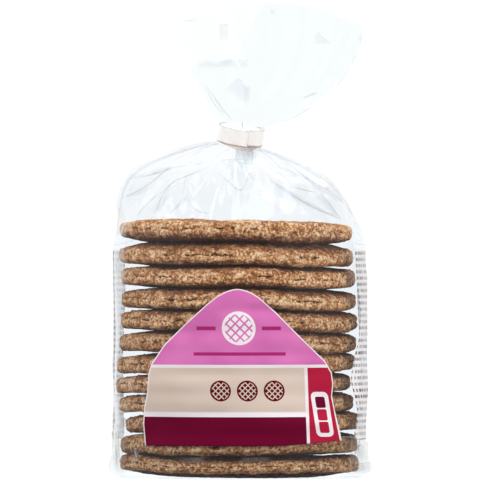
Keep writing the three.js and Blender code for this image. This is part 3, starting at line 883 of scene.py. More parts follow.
def waffle_print(tree, uv, centre, radius):
    """The masks of a printed roundel: its disc, and the diamond lattice in it."""
    move = add(tree, "ShaderNodeVectorMath", {"operation": "SUBTRACT"}, {0: uv, 1: (*centre, 0)})
    size = add(tree, "ShaderNodeVectorMath", {"operation": "LENGTH"}, {0: move.outputs[0]})
    disc = add(tree, "ShaderNodeMath", {"operation": "LESS_THAN"}, {0: size.outputs["Value"], 1: radius})
    inner = add(tree, "ShaderNodeMath", {"operation": "LESS_THAN"}, {0: size.outputs["Value"], 1: radius * 0.84})
    turn = add(tree, "ShaderNodeVectorRotate", {"rotation_type": "Z_AXIS"}, {"Vector": move.outputs[0], "Angle": math.pi / 4})
    cells = add(tree, "ShaderNodeVectorMath", {"operation": "SCALE"}, {0: turn.outputs[0], "Scale": 2.6 / radius})
    cells = add(tree, "ShaderNodeVectorMath", {"operation": "FRACTION"}, {0: cells.outputs[0]})
    split = add(tree, "ShaderNodeSeparateXYZ", None, {0: cells.outputs[0]})
    line_x = add(tree, "ShaderNodeMath", {"operation": "LESS_THAN"}, {0: split.outputs[0], 1: 0.26})
    line_y = add(tree, "ShaderNodeMath", {"operation": "LESS_THAN"}, {0: split.outputs[1], 1: 0.26})
    lines = add(tree, "ShaderNodeMath", {"operation": "MAXIMUM"}, {0: line_x.outputs[0], 1: line_y.outputs[0]})
    lattice = add(tree, "ShaderNodeMath", {"operation": "MULTIPLY"}, {0: lines.outputs[0], 1: inner.outputs[0]})
    return disc.outputs[0], lattice.outputs[0]


def printed_label_material(label):
    """Gravure print on film: flat inks under a satin skin. The UV map is the label laid flat, in millimetres."""
    material, tree = new_material("Printed label film")
    uv = add(tree, "ShaderNodeUVMap", {"uv_map": "UVMap"}).outputs[0]
    split = add(tree, "ShaderNodeSeparateXYZ", None, {0: uv})
    across, up = split.outputs[0], split.outputs[1]

    def above(height, socket=up):
        return add(tree, "ShaderNodeMath", {"operation": "GREATER_THAN"}, {0: socket, 1: height}).outputs[0]

    def below(height, socket=up):
        return add(tree, "ShaderNodeMath", {"operation": "LESS_THAN"}, {0: socket, 1: height}).outputs[0]

    def paint(mask, under, over):
        return add(tree, "ShaderNodeMix", {"data_type": "RGBA"}, {0: mask, 6: under, 7: over}).outputs[2]

    def product(a, b):
        return add(tree, "ShaderNodeMath", {"operation": "MULTIPLY"}, {0: a, 1: b}).outputs[0]

    white = srgb(label.white)
    tone = add(tree, "ShaderNodeTexNoise", None, {"Vector": uv, "Scale": 1 / 14, "Detail": 1.0})
    pink = add(tree, "ShaderNodeValToRGB", {"stops": [
        (0.35, srgb(label.pink_deep)), (0.65, srgb(label.pink))]}, {"Fac": tone.outputs["Fac"]}).outputs[0]
    beige = add(tree, "ShaderNodeValToRGB", {"stops": [
        (0.35, srgb(label.beige_deep)), (0.65, srgb(label.beige))]}, {"Fac": tone.outputs["Fac"]}).outputs[0]
    colour = paint(above(13.3), srgb(label.burgundy), srgb(label.burgundy))
    colour = paint(above(24.75), colour, white)
    colour = paint(above(26.75), colour, beige)
    for place in ((-8.0, 35.0), (2.5, 35.0), (13.0, 35.0)):
        disc, lattice = waffle_print(tree, uv, place, 4.1)
        colour = paint(disc, colour, srgb(label.motif))
        colour = paint(lattice, colour, beige)
    column = above(25.1, across)
    colour = paint(column, colour, white)
    column = above(26.3, across)
    colour = paint(column, colour, srgb(label.crimson))
    colour = paint(above(44.0), colour, white)
    colour = paint(above(45.2), colour, pink)
    disc, lattice = waffle_print(tree, uv, (0.0, 59.5), 6.6)
    colour = paint(disc, colour, white)
    colour = paint(lattice, colour, pink)
    # A plain rule on each side of the roundel, and one below
    for x0, x1, z0, z1 in ((-16.5, -9.0, 58.7, 60.2), (9.0, 16.5, 58.7, 60.2), (-18.0, 18.0, 48.8, 50.1)):
        inside = product(product(above(x0, across), above(z0)), product(below(x1, across), below(z1)))
        colour = paint(inside, colour, srgb(label.rule))
    # A bare white plate with round corners leans with the bag's side, and holds three plain blocks.
    lean = add(tree, "ShaderNodeMath", {"operation": "MULTIPLY_ADD"}, {0: up, 1: 0.12, 2: across}).outputs[0]
    plate = add(tree, "ShaderNodeCombineXYZ", None, {0: lean, 1: up}).outputs[0]
    for z, half_width, half_height, corner, ink in (
            (25.7, 3.4, 8.8, 2.0, label.white), (30.4, 1.9, 2.2, 0.7, label.burgundy),
            (25.5, 1.9, 2.2, 0.7, label.crimson), (20.6, 1.9, 2.2, 0.7, label.crimson)):
        place = add(tree, "ShaderNodeVectorMath", {"operation": "SUBTRACT"}, {0: plate, 1: (34.6, z, 0)})
        place = add(tree, "ShaderNodeVectorMath", {"operation": "ABSOLUTE"}, {0: place.outputs[0]})
        past = add(tree, "ShaderNodeVectorMath", {"operation": "SUBTRACT"}, {
            0: place.outputs[0], 1: (half_width - corner, half_height - corner, 0)})
        past = add(tree, "ShaderNodeVectorMath", {"operation": "MAXIMUM"}, {0: past.outputs[0], 1: (0, 0, 0)})
        past = add(tree, "ShaderNodeVectorMath", {"operation": "LENGTH"}, {0: past.outputs[0]})
        colour = paint(below(corner, past.outputs["Value"]), colour, srgb(ink))
    inset = add(tree, "ShaderNodeAttribute", {"attribute_name": "inset"}).outputs["Fac"]
    rim = add(tree, "ShaderNodeMath", {"operation": "LESS_THAN"}, {0: inset, 1: 0.42}).outputs[0]
    colour = paint(rim, colour, white)
    surface = add(tree, "ShaderNodeBsdfPrincipled", None, {
        "Base Color": colour, "Roughness": 0.5, "IOR": 1.49, "Specular IOR Level": 0.03})
    add(tree, "ShaderNodeOutputMaterial", None, {"Surface": surface.outputs[0]})
    return material


def side_print_material(name, cover, ink_strength):
    """A milky printed panel on the film, with rows of plain grey dashes. The UV map is the panel, in millimetres."""
    material, tree = new_material(name)
    uv = add(tree, "ShaderNodeUVMap", {"uv_map": "UVMap"}).outputs[0]
    # Rows 2.45 mm apart, of dashes 1.2 mm high and up to 3 mm long, with a bold row and two dark red ones
    scaled = add(tree, "ShaderNodeVectorMath", {"operation": "DIVIDE"}, {0: uv, 1: (3.1, 2.45, 1)})
    cell = add(tree, "ShaderNodeVectorMath", {"operation": "FLOOR"}, {0: scaled.outputs[0]})
    within = add(tree, "ShaderNodeVectorMath", {"operation": "FRACTION"}, {0: scaled.outputs[0]})
    split = add(tree, "ShaderNodeSeparateXYZ", None, {0: within.outputs[0]})
    row = add(tree, "ShaderNodeSeparateXYZ", None, {0: cell.outputs[0]}).outputs[1]
    drawn = add(tree, "ShaderNodeTexWhiteNoise", {"noise_dimensions": "2D"}, {"Vector": cell.outputs[0]})
    length = add(tree, "ShaderNodeMapRange", None, {"Value": drawn.outputs["Value"], "To Min": 0.3, "To Max": 0.9})
    high = add(tree, "ShaderNodeMath", {"operation": "LESS_THAN"}, {0: split.outputs[1], 1: 0.5})
    long = add(tree, "ShaderNodeMath", {"operation": "LESS_THAN"}, {0: split.outputs[0], 1: length.outputs[0]})
    ink = add(tree, "ShaderNodeMath", {"operation": "MULTIPLY"}, {0: high.outputs[0], 1: long.outputs[0]})
    bold = add(tree, "ShaderNodeMath", {"operation": "COMPARE"}, {0: row, 1: 20.0, 2: 0.3})
    red = add(tree, "ShaderNodeMath", {"operation": "COMPARE"}, {0: row, 1: 13.5, 2: 0.8})
    strong = add(tree, "ShaderNodeMath", {"operation": "MAXIMUM"}, {0: bold.outputs[0], 1: red.outputs[0]})
    strength = add(tree, "ShaderNodeMapRange", None, {"Value": strong.outputs[0], "To Min": 0.72, "To Max": 0.97})
    ink = add(tree, "ShaderNodeMath", {"operation": "MULTIPLY"}, {0: ink.outputs[0], 1: strength.outputs[0]})
    inks = add(tree, "ShaderNodeMix", {"data_type": "RGBA"}, {
        0: red.outputs[0], 6: srgb("#3E3A3C"), 7: srgb("#5A1420")})
    colour = add(tree, "ShaderNodeMix", {"data_type": "RGBA"}, {
        0: ink.outputs[0], 6: srgb("#F6F1F2"), 7: inks.outputs[2]})
    alpha = add(tree, "ShaderNodeMapRange", None, {"Value": ink.outputs[0], "To Min": cover, "To Max": 0.95 * ink_strength})
    through = add(tree, "ShaderNodeBsdfTransparent")
    printed = add(tree, "ShaderNodeBsdfPrincipled", None, {
        "Base Color": colour.outputs[2], "Roughness": 0.4, "IOR": 1.49})
    both = add(tree, "ShaderNodeMixShader", None, {0: alpha.outputs[0], 1: through.outputs[0], 2: printed.outputs[0]})
    add(tree, "ShaderNodeOutputMaterial", None, {"Surface": both.outputs[0]})
    return material


def paper_tape_material(tape):
    """Bleached paper tape: matt, warm white, with a grey line along its edges: glue, and painted shade at the edge."""
    material, tree = new_material("Bleached paper tape")
    place = add(tree, "ShaderNodeTexCoord").outputs["Object"]
    fibre = add(tree, "ShaderNodeTexNoise", None, {"Vector": place, "Scale": 1 / (1.2 * MM), "Detail": 4.0})
    edge = add(tree, "ShaderNodeAttribute", {"attribute_name": "edge"}).outputs["Fac"]
    colour = add(tree, "ShaderNodeValToRGB", {"stops": [
        (0.3, srgb(tape.shade)), (0.6, srgb(tape.paper))]}, {"Fac": fibre.outputs["Fac"]})
    # The edges are painted grey: glue, and painted shade where the tape's edge shadows the film.
    colour = add(tree, "ShaderNodeMix", {"data_type": "RGBA"}, {0: edge, 6: colour.outputs[0], 7: srgb(tape.edge)})
    bump = add(tree, "ShaderNodeBump", None, {"Strength": 0.3, "Distance": 0.1 * MM, "Height": fibre.outputs["Fac"]})
    surface = add(tree, "ShaderNodeBsdfPrincipled", None, {
        "Base Color": colour.outputs[2], "Roughness": 0.6, "IOR": 1.5, "Normal": bump.outputs[0]})
    add(tree, "ShaderNodeOutputMaterial", None, {"Surface": surface.outputs[0]})
    return material


# ---- Settings


def hex_property(name, description, default):
    return bpy.props.StringProperty(name=name, description=description, default=default)


class StroopwafelSettings(bpy.types.PropertyGroup):
    half_thickness: FloatProperty(name="Half thickness", description="From the caramel to a face, in the middle, in mm", default=4.1, min=1.0, max=8.0)
    rim_thickness: FloatProperty(name="Rim half thickness", description="From the caramel to the top of the cut edge, in mm", default=3.15, min=1.0, max=6.0)
    crumb_depth: FloatProperty(name="Crumb depth", description="How rough the cut edge is, in mm", default=0.42, min=0.0, max=2.0)
    crumb_size: FloatProperty(name="Crumb size", description="How far apart the grains are, in mm", default=1.5, min=0.2, max=4.0)
    hole_depth: FloatProperty(name="Hole depth", description="How deep the holes in the cut edge are, in mm", default=0.9, min=0.0, max=3.0)
    unevenness: FloatProperty(name="Unevenness", description="How much the cut edge's thickness wanders, in mm", default=0.5, min=0.0, max=2.0)
    bend: FloatProperty(name="Bend", description="How far a waffle is bent out of flat, in mm", default=1.5, min=0.0, max=4.0)
    crumb: hex_property("Crumb", "Colour of the cut edge", "#D08D57")
    crumb_dark: hex_property("Crumb, dark", "Dark grains of the cut edge", "#84522A")
    crumb_light: hex_property("Crumb, light", "Light grains of the cut edge", "#FCD6AA")
    skin: hex_property("Skin", "Colour of the toasted faces", "#B2703C")
    skin_dark: hex_property("Skin, dark", "Dark patches of the faces", "#7A401C")
    skin_light: hex_property("Skin, light", "Light patches of the faces", "#E8BC8A")
    # The colour that toasting and painted shade darken the edge to
    toasted_and_shaded: hex_property("Toasted", "The darkest baked dough", "#6A3828")
    # Painted shadow: the colour painted on the bottom waffle's underside
    underside_shadow: hex_property("Shadowed", "The underside that the whole stack presses down", "#2A1C16")
    # Painted shade inside holes, and the caramel's dark colour along the seam
    hollow: hex_property("Holes", "Colour inside holes and along the seam", "#3A2012")
    caramel: hex_property("Caramel", "Colour of the filling", "#5A2C10")
    caramel_dark: hex_property("Caramel, dark", "Dark streaks of the filling", "#2C1206")
    crumb_count: IntProperty(name="Loose crumbs", description="Crumbs that lie on the cut edges", default=300, min=0, max=400)


class FilmSettings(bpy.types.PropertyGroup):
    thickness: FloatProperty(name="Wall", description="The film's wall in mm, drawn thicker than its real 0.03", default=0.12, min=0.02, max=1.0)
    roughness: FloatProperty(name="Roughness", description="How blurred its reflections are", default=0.1, min=0.0, max=1.0)
    reflectance: FloatProperty(name="Reflectance", description="The share of light that a wall reflects face-on", default=0.045, min=0.0, max=1.0)
    edge_reflectance: FloatProperty(name="Edge reflectance", description="The share that it reflects edge-on", default=0.9, min=0.0, max=1.0)
    tint: hex_property("Tint", "What white looks like through one wall of the film round the waffles", "#F8FBFD")
    fan_tint: hex_property("Fan tint", "What white looks like through one wall of the loose film above the tape", "#FDFFFF")
    fold_tint: hex_property("Fold tint", "What white looks like through a pleat's few layers", "#F3F6F8")
    # The bottom corners' folds are tinted a warm grey, darker than the other folds.
    grey_corner_tint: hex_property("Grey fold tint", "What white looks like through the bottom corners", "#E9E7E2")
    airy_tint: hex_property("Airy fold tint", "What white looks like through a fold of the loose film", "#F7F9FB")
    print_cover: FloatProperty(name="Print cover", description="How opaque the printed side panels are", default=0.5, min=0.0, max=1.0)


class LabelSettings(bpy.types.PropertyGroup):
    stand_off: FloatProperty(name="Stand-off", description="From the film to the label's face, in mm", default=0.3, min=0.05, max=2.0)
    pink: hex_property("Pink", "The upper field", "#D776B3")
    pink_deep: hex_property("Deep pink", "The upper field where it is darker", "#CA69A9")
    beige: hex_property("Beige", "The middle field", "#D3BFB3")
    beige_deep: hex_property("Deep beige", "The middle field where it is darker", "#CFBBAD")
    burgundy: hex_property("Burgundy", "The lower field", "#66082A")
    crimson: hex_property("Crimson", "The field on the right", "#AE1E3C")
    white: hex_property("White", "Borders and lines", "#E8DFE1")
    motif: hex_property("Motif", "The row of small roundels", "#5E1018")
    rule: hex_property("Rules", "The plain rules in the upper field", "#A8286E")


class TapeSettings(bpy.types.PropertyGroup):
    thickness: FloatProperty(name="Thickness", description="Paper and glue, in mm", default=0.3, min=0.05, max=1.0)
    height: FloatProperty(name="Height", description="The tape's width, in mm", default=6.5, min=3.0, max=20.0)
    paper: hex_property("Paper", "Colour of the paper", "#FFFFFF")
    shade: hex_property("Paper, shaded", "Colour between its fibres", "#FDFDFB")
    # Grey of the edges: glue, and painted shade
    edge: hex_property("Edge", "Colour of its cut edges", "#C0B8B0")


class StageSettings(bpy.types.PropertyGroup):
    distance: FloatProperty(name="Camera distance", description="From the camera to the middle of the bag, in metres", default=4.5, min=0.3, max=9.0, subtype="DISTANCE")
    view_width: FloatProperty(name="View width", description="What the picture takes in at the bag, in mm", default=189.5, min=50.0, max=1000.0)
    eye_height: FloatProperty(name="Eye height", description="The camera's height, in mm", default=94.0, min=0.0, max=1000.0)
    backdrop: FloatProperty(name="Backdrop", description="How bright the tent is behind the bag", default=1.04, min=0.0, max=5.0)
    table_radius: FloatProperty(name="Table radius", description="The round table's radius, in metres", default=1.2, min=0.3, max=5.0, subtype="DISTANCE")
    near_glow: FloatProperty(name="Near glow", description="Light that the table adds near the bag", default=0.06, min=0.0, max=2.0)
    far_glow: FloatProperty(name="Far glow", description="Light that the table adds at its rim", default=0.5, min=0.0, max=2.0)
    floor: hex_property("Floor", "Colour of the table", "#F2F2F2")


# ---- The waffles


def waffle_profile(settings, fine):
    """A waffle's outline from the middle of its upper face, over the cut edge, to the middle of its lower face.
    Each point is (radius, height, how much it belongs to the cut edge)."""
    face, rim = settings.half_thickness, settings.rim_thickness
    r = WAFFLE_RADIUS
    inner = [*np.linspace(2.0, 34.0, 44 if fine else 4), *np.linspace(34.8, r - 7.0, 6)]
    outer = [(radius, mix(face, rim + 0.3, ((max(radius, 28.0) - 28.0) / (r - 35.0)) ** 2.0), 0.0) for radius in inner]
    # From the rim a rounded corner runs down into a nearly upright wall. The lower corner is the squarer one.
    halves = []
    for square in (0.52, 0.40):
        turn = np.linspace(0.06, 1.15, 9)
        upright = np.linspace(math.cos(1.15) ** square, 0.0, 12)[1:-1]
        turn = [*turn, *np.arccos(upright ** (1 / square))]
        halves.append([*outer, *((r - 7.0 + 7.0 * math.sin(t) ** 0.85, (rim + 0.3) * math.cos(t) ** square,
                                  smoothstep(t, 0.2, 0.75)) for t in turn)])
    upper, lower = halves
    return [*upper, (r, 0.0, 1.0), *((radius, -height, cut) for radius, height, cut in reversed(lower))]


def ring_mesh(points, around):
    """A closed solid of revolution as vertices, faces and the cut share of each vertex."""
    turn = np.linspace(0.0, 2 * math.pi, around, endpoint=False)
    vertices = [(0.0, 0.0, points[0][1])]
    cut = [0.0]
    for radius, height, share in points:
        vertices += [(radius * math.cos(t), radius * math.sin(t), height) for t in turn]
        cut += [share] * around
    vertices.append((0.0, 0.0, points[-1][1]))
    cut.append(0.0)
    faces = [(0, 1 + k, 1 + (k + 1) % around) for k in range(around)]
    quads = grid_faces(len(points), around, True)[:, ::-1] + 1
    last = 1 + (len(points) - 1) * around
    tail = [(last + k, len(vertices) - 1, last + (k + 1) % around) for k in range(around)]
    return vertices, [*faces, *map(tuple, quads), *tail], cut


def waffle_blank(settings, around, fine):
    """A waffle, smooth and level, with what the crumb tree needs to know of each point."""
    vertices, faces, cut = ring_mesh(waffle_profile(settings, fine), around)
    piece = new_mesh_object("waffle_blank", vertices, faces)
    give_attribute(piece, "cut", cut)
    give_attribute(piece, "level", np.array(vertices)[:, 2] / (settings.rim_thickness + 0.2))
    return piece


def crumb_tree(material):
    """Geometry nodes that turn a smooth blank into a baked waffle: bent, crumbly at its edge, with holes, a broken
    seam and the pattern of the iron, and set in its place in the stack."""
    tree = bpy.data.node_groups.new("Baked waffle", "GeometryNodeTree")
    face = tree.interface
    face.new_socket("Geometry", in_out="INPUT", socket_type="NodeSocketGeometry")
    for name, default in (("Crumb Depth", 0.5), ("Crumb Size", 1.0), ("Hole Depth", 0.9), ("Seam Depth", 1.3),
                          ("Iron Depth", 0.8), ("Iron Pitch", 5.4), ("Bend", 1.2), ("Seed", 0.0), ("Turn", 0.0),
                          ("Slide", 0.0), ("Height", 0.0), ("Fall", 0.0), ("Width", 1.0), ("Upper Swell", 0.0), ("Lower Swell", 0.0),
                          ("Unevenness", 0.5), ("Dent Depth", 0.0), ("Dent Place", 0.0), ("Plumpness", 0.0), ("Droop", 0.0),
                          ("Bake", 1.0), ("Upper Toast And Shade", 0.0), ("Lower Toast And Shade", 0.0), ("Underside Shadow And Toast", 0.0)):
        socket = face.new_socket(name, in_out="INPUT", socket_type="NodeSocketFloat")
        socket.default_value = default
    face.new_socket("Geometry", in_out="OUTPUT", socket_type="NodeSocketGeometry")
    entry = add(tree, "NodeGroupInput").outputs
    cut = add(tree, "GeometryNodeInputNamedAttribute", {"data_type": "FLOAT"}, {"Name": "cut"}).outputs[0]
    level = add(tree, "GeometryNodeInputNamedAttribute", {"data_type": "FLOAT"}, {"Name": "level"}).outputs[0]
    position = add(tree, "GeometryNodeInputPosition").outputs[0]
    normal = add(tree, "GeometryNodeInputNormal").outputs[0]
    in_mm = add(tree, "ShaderNodeVectorMath", {"operation": "SCALE"}, {0: position, "Scale": 1 / MM}).outputs[0]

    def math_node(operation, a, b=0.0, c=0.0):
        return add(tree, "ShaderNodeMath", {"operation": operation}, {0: a, 1: b, 2: c}).outputs[0]

    # Crumb: rough grains on the cut edge, a third as deep on the faces, over slower lumps
    inverse = math_node("DIVIDE", 1.0, entry["Crumb Size"])
    grains = add(tree, "ShaderNodeTexNoise", {"noise_dimensions": "4D"}, {
        "Vector": in_mm, "W": entry["Seed"], "Scale": inverse, "Detail": 2.0, "Roughness": 0.7}).outputs[0]
    grains = math_node("MULTIPLY", math_node("SUBTRACT", grains, 0.5), 4.5)
    lumps = add(tree, "ShaderNodeTexNoise", {"noise_dimensions": "4D"}, {
        "Vector": in_mm, "W": entry["Seed"], "Scale": 0.32, "Detail": 2.0, "Roughness": 0.6}).outputs[0]
    lumps = math_node("MULTIPLY", math_node("SUBTRACT", lumps, 0.5), 2.2)
    rough = math_node("MULTIPLY_ADD", cut, 0.75, 0.25)
    crumb = math_node("MULTIPLY", math_node("MULTIPLY", math_node("ADD", grains, lumps), rough), entry["Crumb Depth"])
    # Holes: small round cells of an open crumb, only in the cut edge
    cells = add(tree, "ShaderNodeTexVoronoi", {"voronoi_dimensions": "4D"}, {
        "Vector": in_mm, "W": math_node("ADD", entry["Seed"], 2.0), "Scale": 0.7, "Randomness": 1.0}).outputs["Distance"]
    hole = add(tree, "ShaderNodeMapRange", {"interpolation_type": "SMOOTHSTEP"}, {
        "Value": cells, "From Min": 0.10, "From Max": 0.28, "To Min": 1.0, "To Max": 0.0}).outputs[0]
    where = add(tree, "ShaderNodeTexNoise", {"noise_dimensions": "4D"}, {
        "Vector": in_mm, "W": entry["Seed"], "Scale": 0.16, "Detail": 1.0}).outputs[0]
    porous = add(tree, "ShaderNodeMapRange", {"interpolation_type": "SMOOTHSTEP"}, {
        "Value": where, "From Min": 0.44, "From Max": 0.58}).outputs[0]
    hole = math_node("MULTIPLY", math_node("MULTIPLY", hole, porous), cut)
    # Seam: the two wafers part in short slits that wander about the middle of the edge
    slits = add(tree, "ShaderNodeTexNoise", {"noise_dimensions": "4D"}, {
        "Vector": in_mm, "W": math_node("ADD", entry["Seed"], 5.0), "Scale": 0.2, "Detail": 4.0, "Roughness": 0.75}).outputs[0]
    seam = add(tree, "ShaderNodeMapRange", {"interpolation_type": "SMOOTHSTEP"}, {
        "Value": slits, "From Min": 0.50, "From Max": 0.59}).outputs[0]
    wander = math_node("MULTIPLY", lumps, 0.34)
    near_seam = add(tree, "ShaderNodeMapRange", {"interpolation_type": "SMOOTHSTEP"}, {
        "Value": math_node("ABSOLUTE", math_node("SUBTRACT", level, wander)),
        "From Min": 0.02, "From Max": 0.14, "To Min": 1.0, "To Max": 0.0}).outputs[0]
    seam = math_node("MULTIPLY", math_node("MULTIPLY", seam, near_seam), cut)
    # The iron's shallow squares, pressed into both faces
    turned = add(tree, "ShaderNodeVectorRotate", {"rotation_type": "Z_AXIS"}, {"Vector": in_mm, "Angle": entry["Turn"]})
    grid_place = add(tree, "ShaderNodeSeparateXYZ", None, {0: turned.outputs[0]}).outputs
    split = add(tree, "ShaderNodeSeparateXYZ", None, {0: in_mm}).outputs
    ridges = []
    for axis in (0, 1):
        share = math_node("FRACT", math_node("DIVIDE", math_node("ADD", grid_place[axis], 500.0), entry["Iron Pitch"]))
        ridge = math_node("ABSOLUTE", math_node("MULTIPLY_ADD", share, 2.0, -1.0))
        ridges.append(add(tree, "ShaderNodeMapRange", {"interpolation_type": "SMOOTHSTEP"}, {
            "Value": ridge, "From Min": 0.55, "From Max": 0.85, "To Min": 1.0, "To Max": 0.0}).outputs[0])
    pits = math_node("MULTIPLY", math_node("MULTIPLY", ridges[0], ridges[1]), math_node("SUBTRACT", 1.0, cut))
    iron = math_node("MULTIPLY", pits, entry["Iron Depth"])
    # All of it moves a point along its normal.
    lift = math_node("SUBTRACT", crumb, math_node("MULTIPLY", hole, entry["Hole Depth"]))
    lift = math_node("SUBTRACT", math_node("SUBTRACT", lift, iron), math_node("MULTIPLY", seam, entry["Seam Depth"]))
    along = add(tree, "ShaderNodeVectorMath", {"operation": "SCALE"}, {0: normal, "Scale": lift}).outputs[0]
    bend = add(tree, "ShaderNodeTexNoise", {"noise_dimensions": "4D"}, {
        "Vector": add(tree, "ShaderNodeVectorMath", {"operation": "MULTIPLY"}, {0: in_mm, 1: (1, 1, 0)}).outputs[0],
        "W": math_node("ADD", entry["Seed"], 11.0), "Scale": 0.028, "Detail": 1.0}).outputs[0]
    bend = math_node("MULTIPLY", math_node("MULTIPLY", math_node("SUBTRACT", bend, 0.5), 2.0), entry["Bend"])
    # A waffle only bends where it isn't pressed between its neighbours.
    radius = math_node("SQRT", math_node("ADD", math_node("POWER", split[0], 2.0), math_node("POWER", split[1], 2.0)))
    free = add(tree, "ShaderNodeMapRange", {"interpolation_type": "SMOOTHSTEP"}, {
        "Value": radius, "From Min": 22.0, "From Max": 44.0}).outputs[0]
    rise = math_node("MULTIPLY", bend, free)
    # The cut edge is thicker in places, and the top waffle is dented at the front.
    thick = add(tree, "ShaderNodeTexNoise", {"noise_dimensions": "4D"}, {
        "Vector": in_mm, "W": math_node("ADD", entry["Seed"], 17.0), "Scale": 0.07, "Detail": 2.0}).outputs[0]
    thick = math_node("MULTIPLY", math_node("SUBTRACT", thick, 0.42), math_node("MULTIPLY", entry["Unevenness"], 4.0))
    thick = math_node("ADD", thick, entry["Plumpness"])
    rise = math_node("ADD", rise, math_node("MULTIPLY", math_node("MULTIPLY", thick, level), free))
    away = math_node("DIVIDE", math_node("SUBTRACT", split[0], entry["Dent Place"]), 8.0)
    dent = math_node("MULTIPLY", math_node("EXPONENT", math_node("MULTIPLY", math_node("POWER", away, 2.0), -1.0)),
                     math_node("LESS_THAN", split[1], 0.0))
    dent = math_node("MULTIPLY", math_node("MULTIPLY", dent, entry["Dent Depth"]), math_node("MAXIMUM", level, 0.0))
    rise = math_node("SUBTRACT", rise, math_node("MULTIPLY", dent, free))
    # To the left and the right the upper wafer hangs a little.
    ends = add(tree, "ShaderNodeMapRange", {"interpolation_type": "SMOOTHSTEP"}, {
        "Value": math_node("ABSOLUTE", split[0]), "From Min": 29.0, "From Max": 47.0}).outputs[0]
    hang = math_node("MULTIPLY", math_node("MULTIPLY", ends, entry["Droop"]), math_node("MAXIMUM", level, 0.0))
    rise = math_node("SUBTRACT", rise, hang)
    # In the middle a wafer swells until it meets its neighbour.
    meeting = add(tree, "ShaderNodeMapRange", {"interpolation_type": "SMOOTHSTEP"}, {
        "Value": radius, "From Min": 37.0, "From Max": 44.5, "To Min": 1.0, "To Max": 0.0}).outputs[0]
    upward = math_node("MULTIPLY", math_node("GREATER_THAN", level, 0.5), entry["Upper Swell"])
    downward = math_node("MULTIPLY", math_node("LESS_THAN", level, -0.5), entry["Lower Swell"])
    rise = math_node("ADD", rise, math_node("MULTIPLY", meeting, math_node("SUBTRACT", upward, downward)))
    offset = add(tree, "ShaderNodeCombineXYZ", None, {"Z": rise}).outputs[0]
    offset = add(tree, "ShaderNodeVectorMath", {"operation": "ADD"}, {0: along, 1: offset}).outputs[0]
    offset = add(tree, "ShaderNodeVectorMath", {"operation": "SCALE"}, {0: offset, "Scale": MM}).outputs[0]
    # Painted shade in the holes, and the dark seam where the caramel shows
    deep = math_node("MAXIMUM", math_node("MULTIPLY", hole, 0.8), seam)
    keep = add(tree, "GeometryNodeStoreNamedAttribute", {"data_type": "FLOAT", "domain": "POINT"}, {
        "Geometry": entry["Geometry"], "Name": "hollow", "Value": deep})
    keep = add(tree, "GeometryNodeStoreNamedAttribute", {"data_type": "FLOAT", "domain": "POINT"}, {
        "Geometry": keep.outputs[0], "Name": "relief", "Value": math_node("ADD", grains, math_node("MULTIPLY", lumps, 0.4))})
    # Painted shade: how far this waffle's colour is darkened for its place in the stack
    keep = add(tree, "GeometryNodeStoreNamedAttribute", {"data_type": "FLOAT", "domain": "POINT"}, {
        "Geometry": keep.outputs[0], "Name": "bake", "Value": entry["Bake"]})
    keep = add(tree, "GeometryNodeStoreNamedAttribute", {"data_type": "FLOAT", "domain": "POINT"}, {
        "Geometry": keep.outputs[0], "Name": "pressed", "Value": pits})
    # One side of the edge is painted darker than the other: toasting, and painted shade under the waffle above.
    above, below = (add(tree, "ShaderNodeMapRange", {"interpolation_type": "SMOOTHSTEP"}, {
        "Value": math_node("MULTIPLY", level, sign), "From Min": 0.1, "From Max": 0.95}).outputs[0] for sign in (1.0, -1.0))
    toast = math_node("ADD", math_node("MULTIPLY", above, entry["Upper Toast And Shade"]),
                      math_node("MULTIPLY", below, entry["Lower Toast And Shade"]))
    # Painted shadow on the underside face. On the bottom waffle it goes past 1, to the shadow's colour.
    under = math_node("MULTIPLY", math_node("MULTIPLY", below, entry["Underside Shadow And Toast"]), math_node("SUBTRACT", 1.0, cut))
    toast = math_node("ADD", math_node("MULTIPLY", toast, cut), under)
    keep = add(tree, "GeometryNodeStoreNamedAttribute", {"data_type": "FLOAT", "domain": "POINT"}, {
        "Geometry": keep.outputs[0], "Name": "toast", "Value": toast})
    shaped = add(tree, "GeometryNodeSetPosition", None, {"Geometry": keep.outputs[0], "Offset": offset})
    tilt = math_node("ARCTANGENT", math_node("DIVIDE", entry["Fall"], 2 * WAFFLE_RADIUS))
    place = add(tree, "ShaderNodeCombineXYZ", None, {
        "X": math_node("MULTIPLY", entry["Slide"], MM), "Z": math_node("MULTIPLY", entry["Height"], MM)})
    placed = add(tree, "GeometryNodeTransform", None, {
        "Geometry": shaped.outputs[0], "Translation": place.outputs[0],
        "Rotation": add(tree, "ShaderNodeCombineXYZ", None, {"Y": tilt}).outputs[0],
        "Scale": add(tree, "ShaderNodeCombineXYZ", None, {"X": entry["Width"], "Y": 1.0, "Z": 1.0}).outputs[0]})
    real = add(tree, "GeometryNodeRealizeInstances", None, {"Geometry": placed.outputs[0]})
    coloured = add(tree, "GeometryNodeSetMaterial", None, {"Geometry": real.outputs[0], "Material": material})
    add(tree, "NodeGroupOutput", None, {0: coloured.outputs[0]})
    return tree


def run_tree(piece, tree, values):
    """Runs a geometry nodes tree on a piece, and keeps the result as its plain mesh."""
    modifier = piece.modifiers.new("Shape", "NODES")
    modifier.node_group = tree
    for socket in tree.interface.items_tree:
        if socket.in_out == "INPUT" and socket.name in values:
            modifier[socket.identifier] = values[socket.name]
    bake_modifiers(piece)


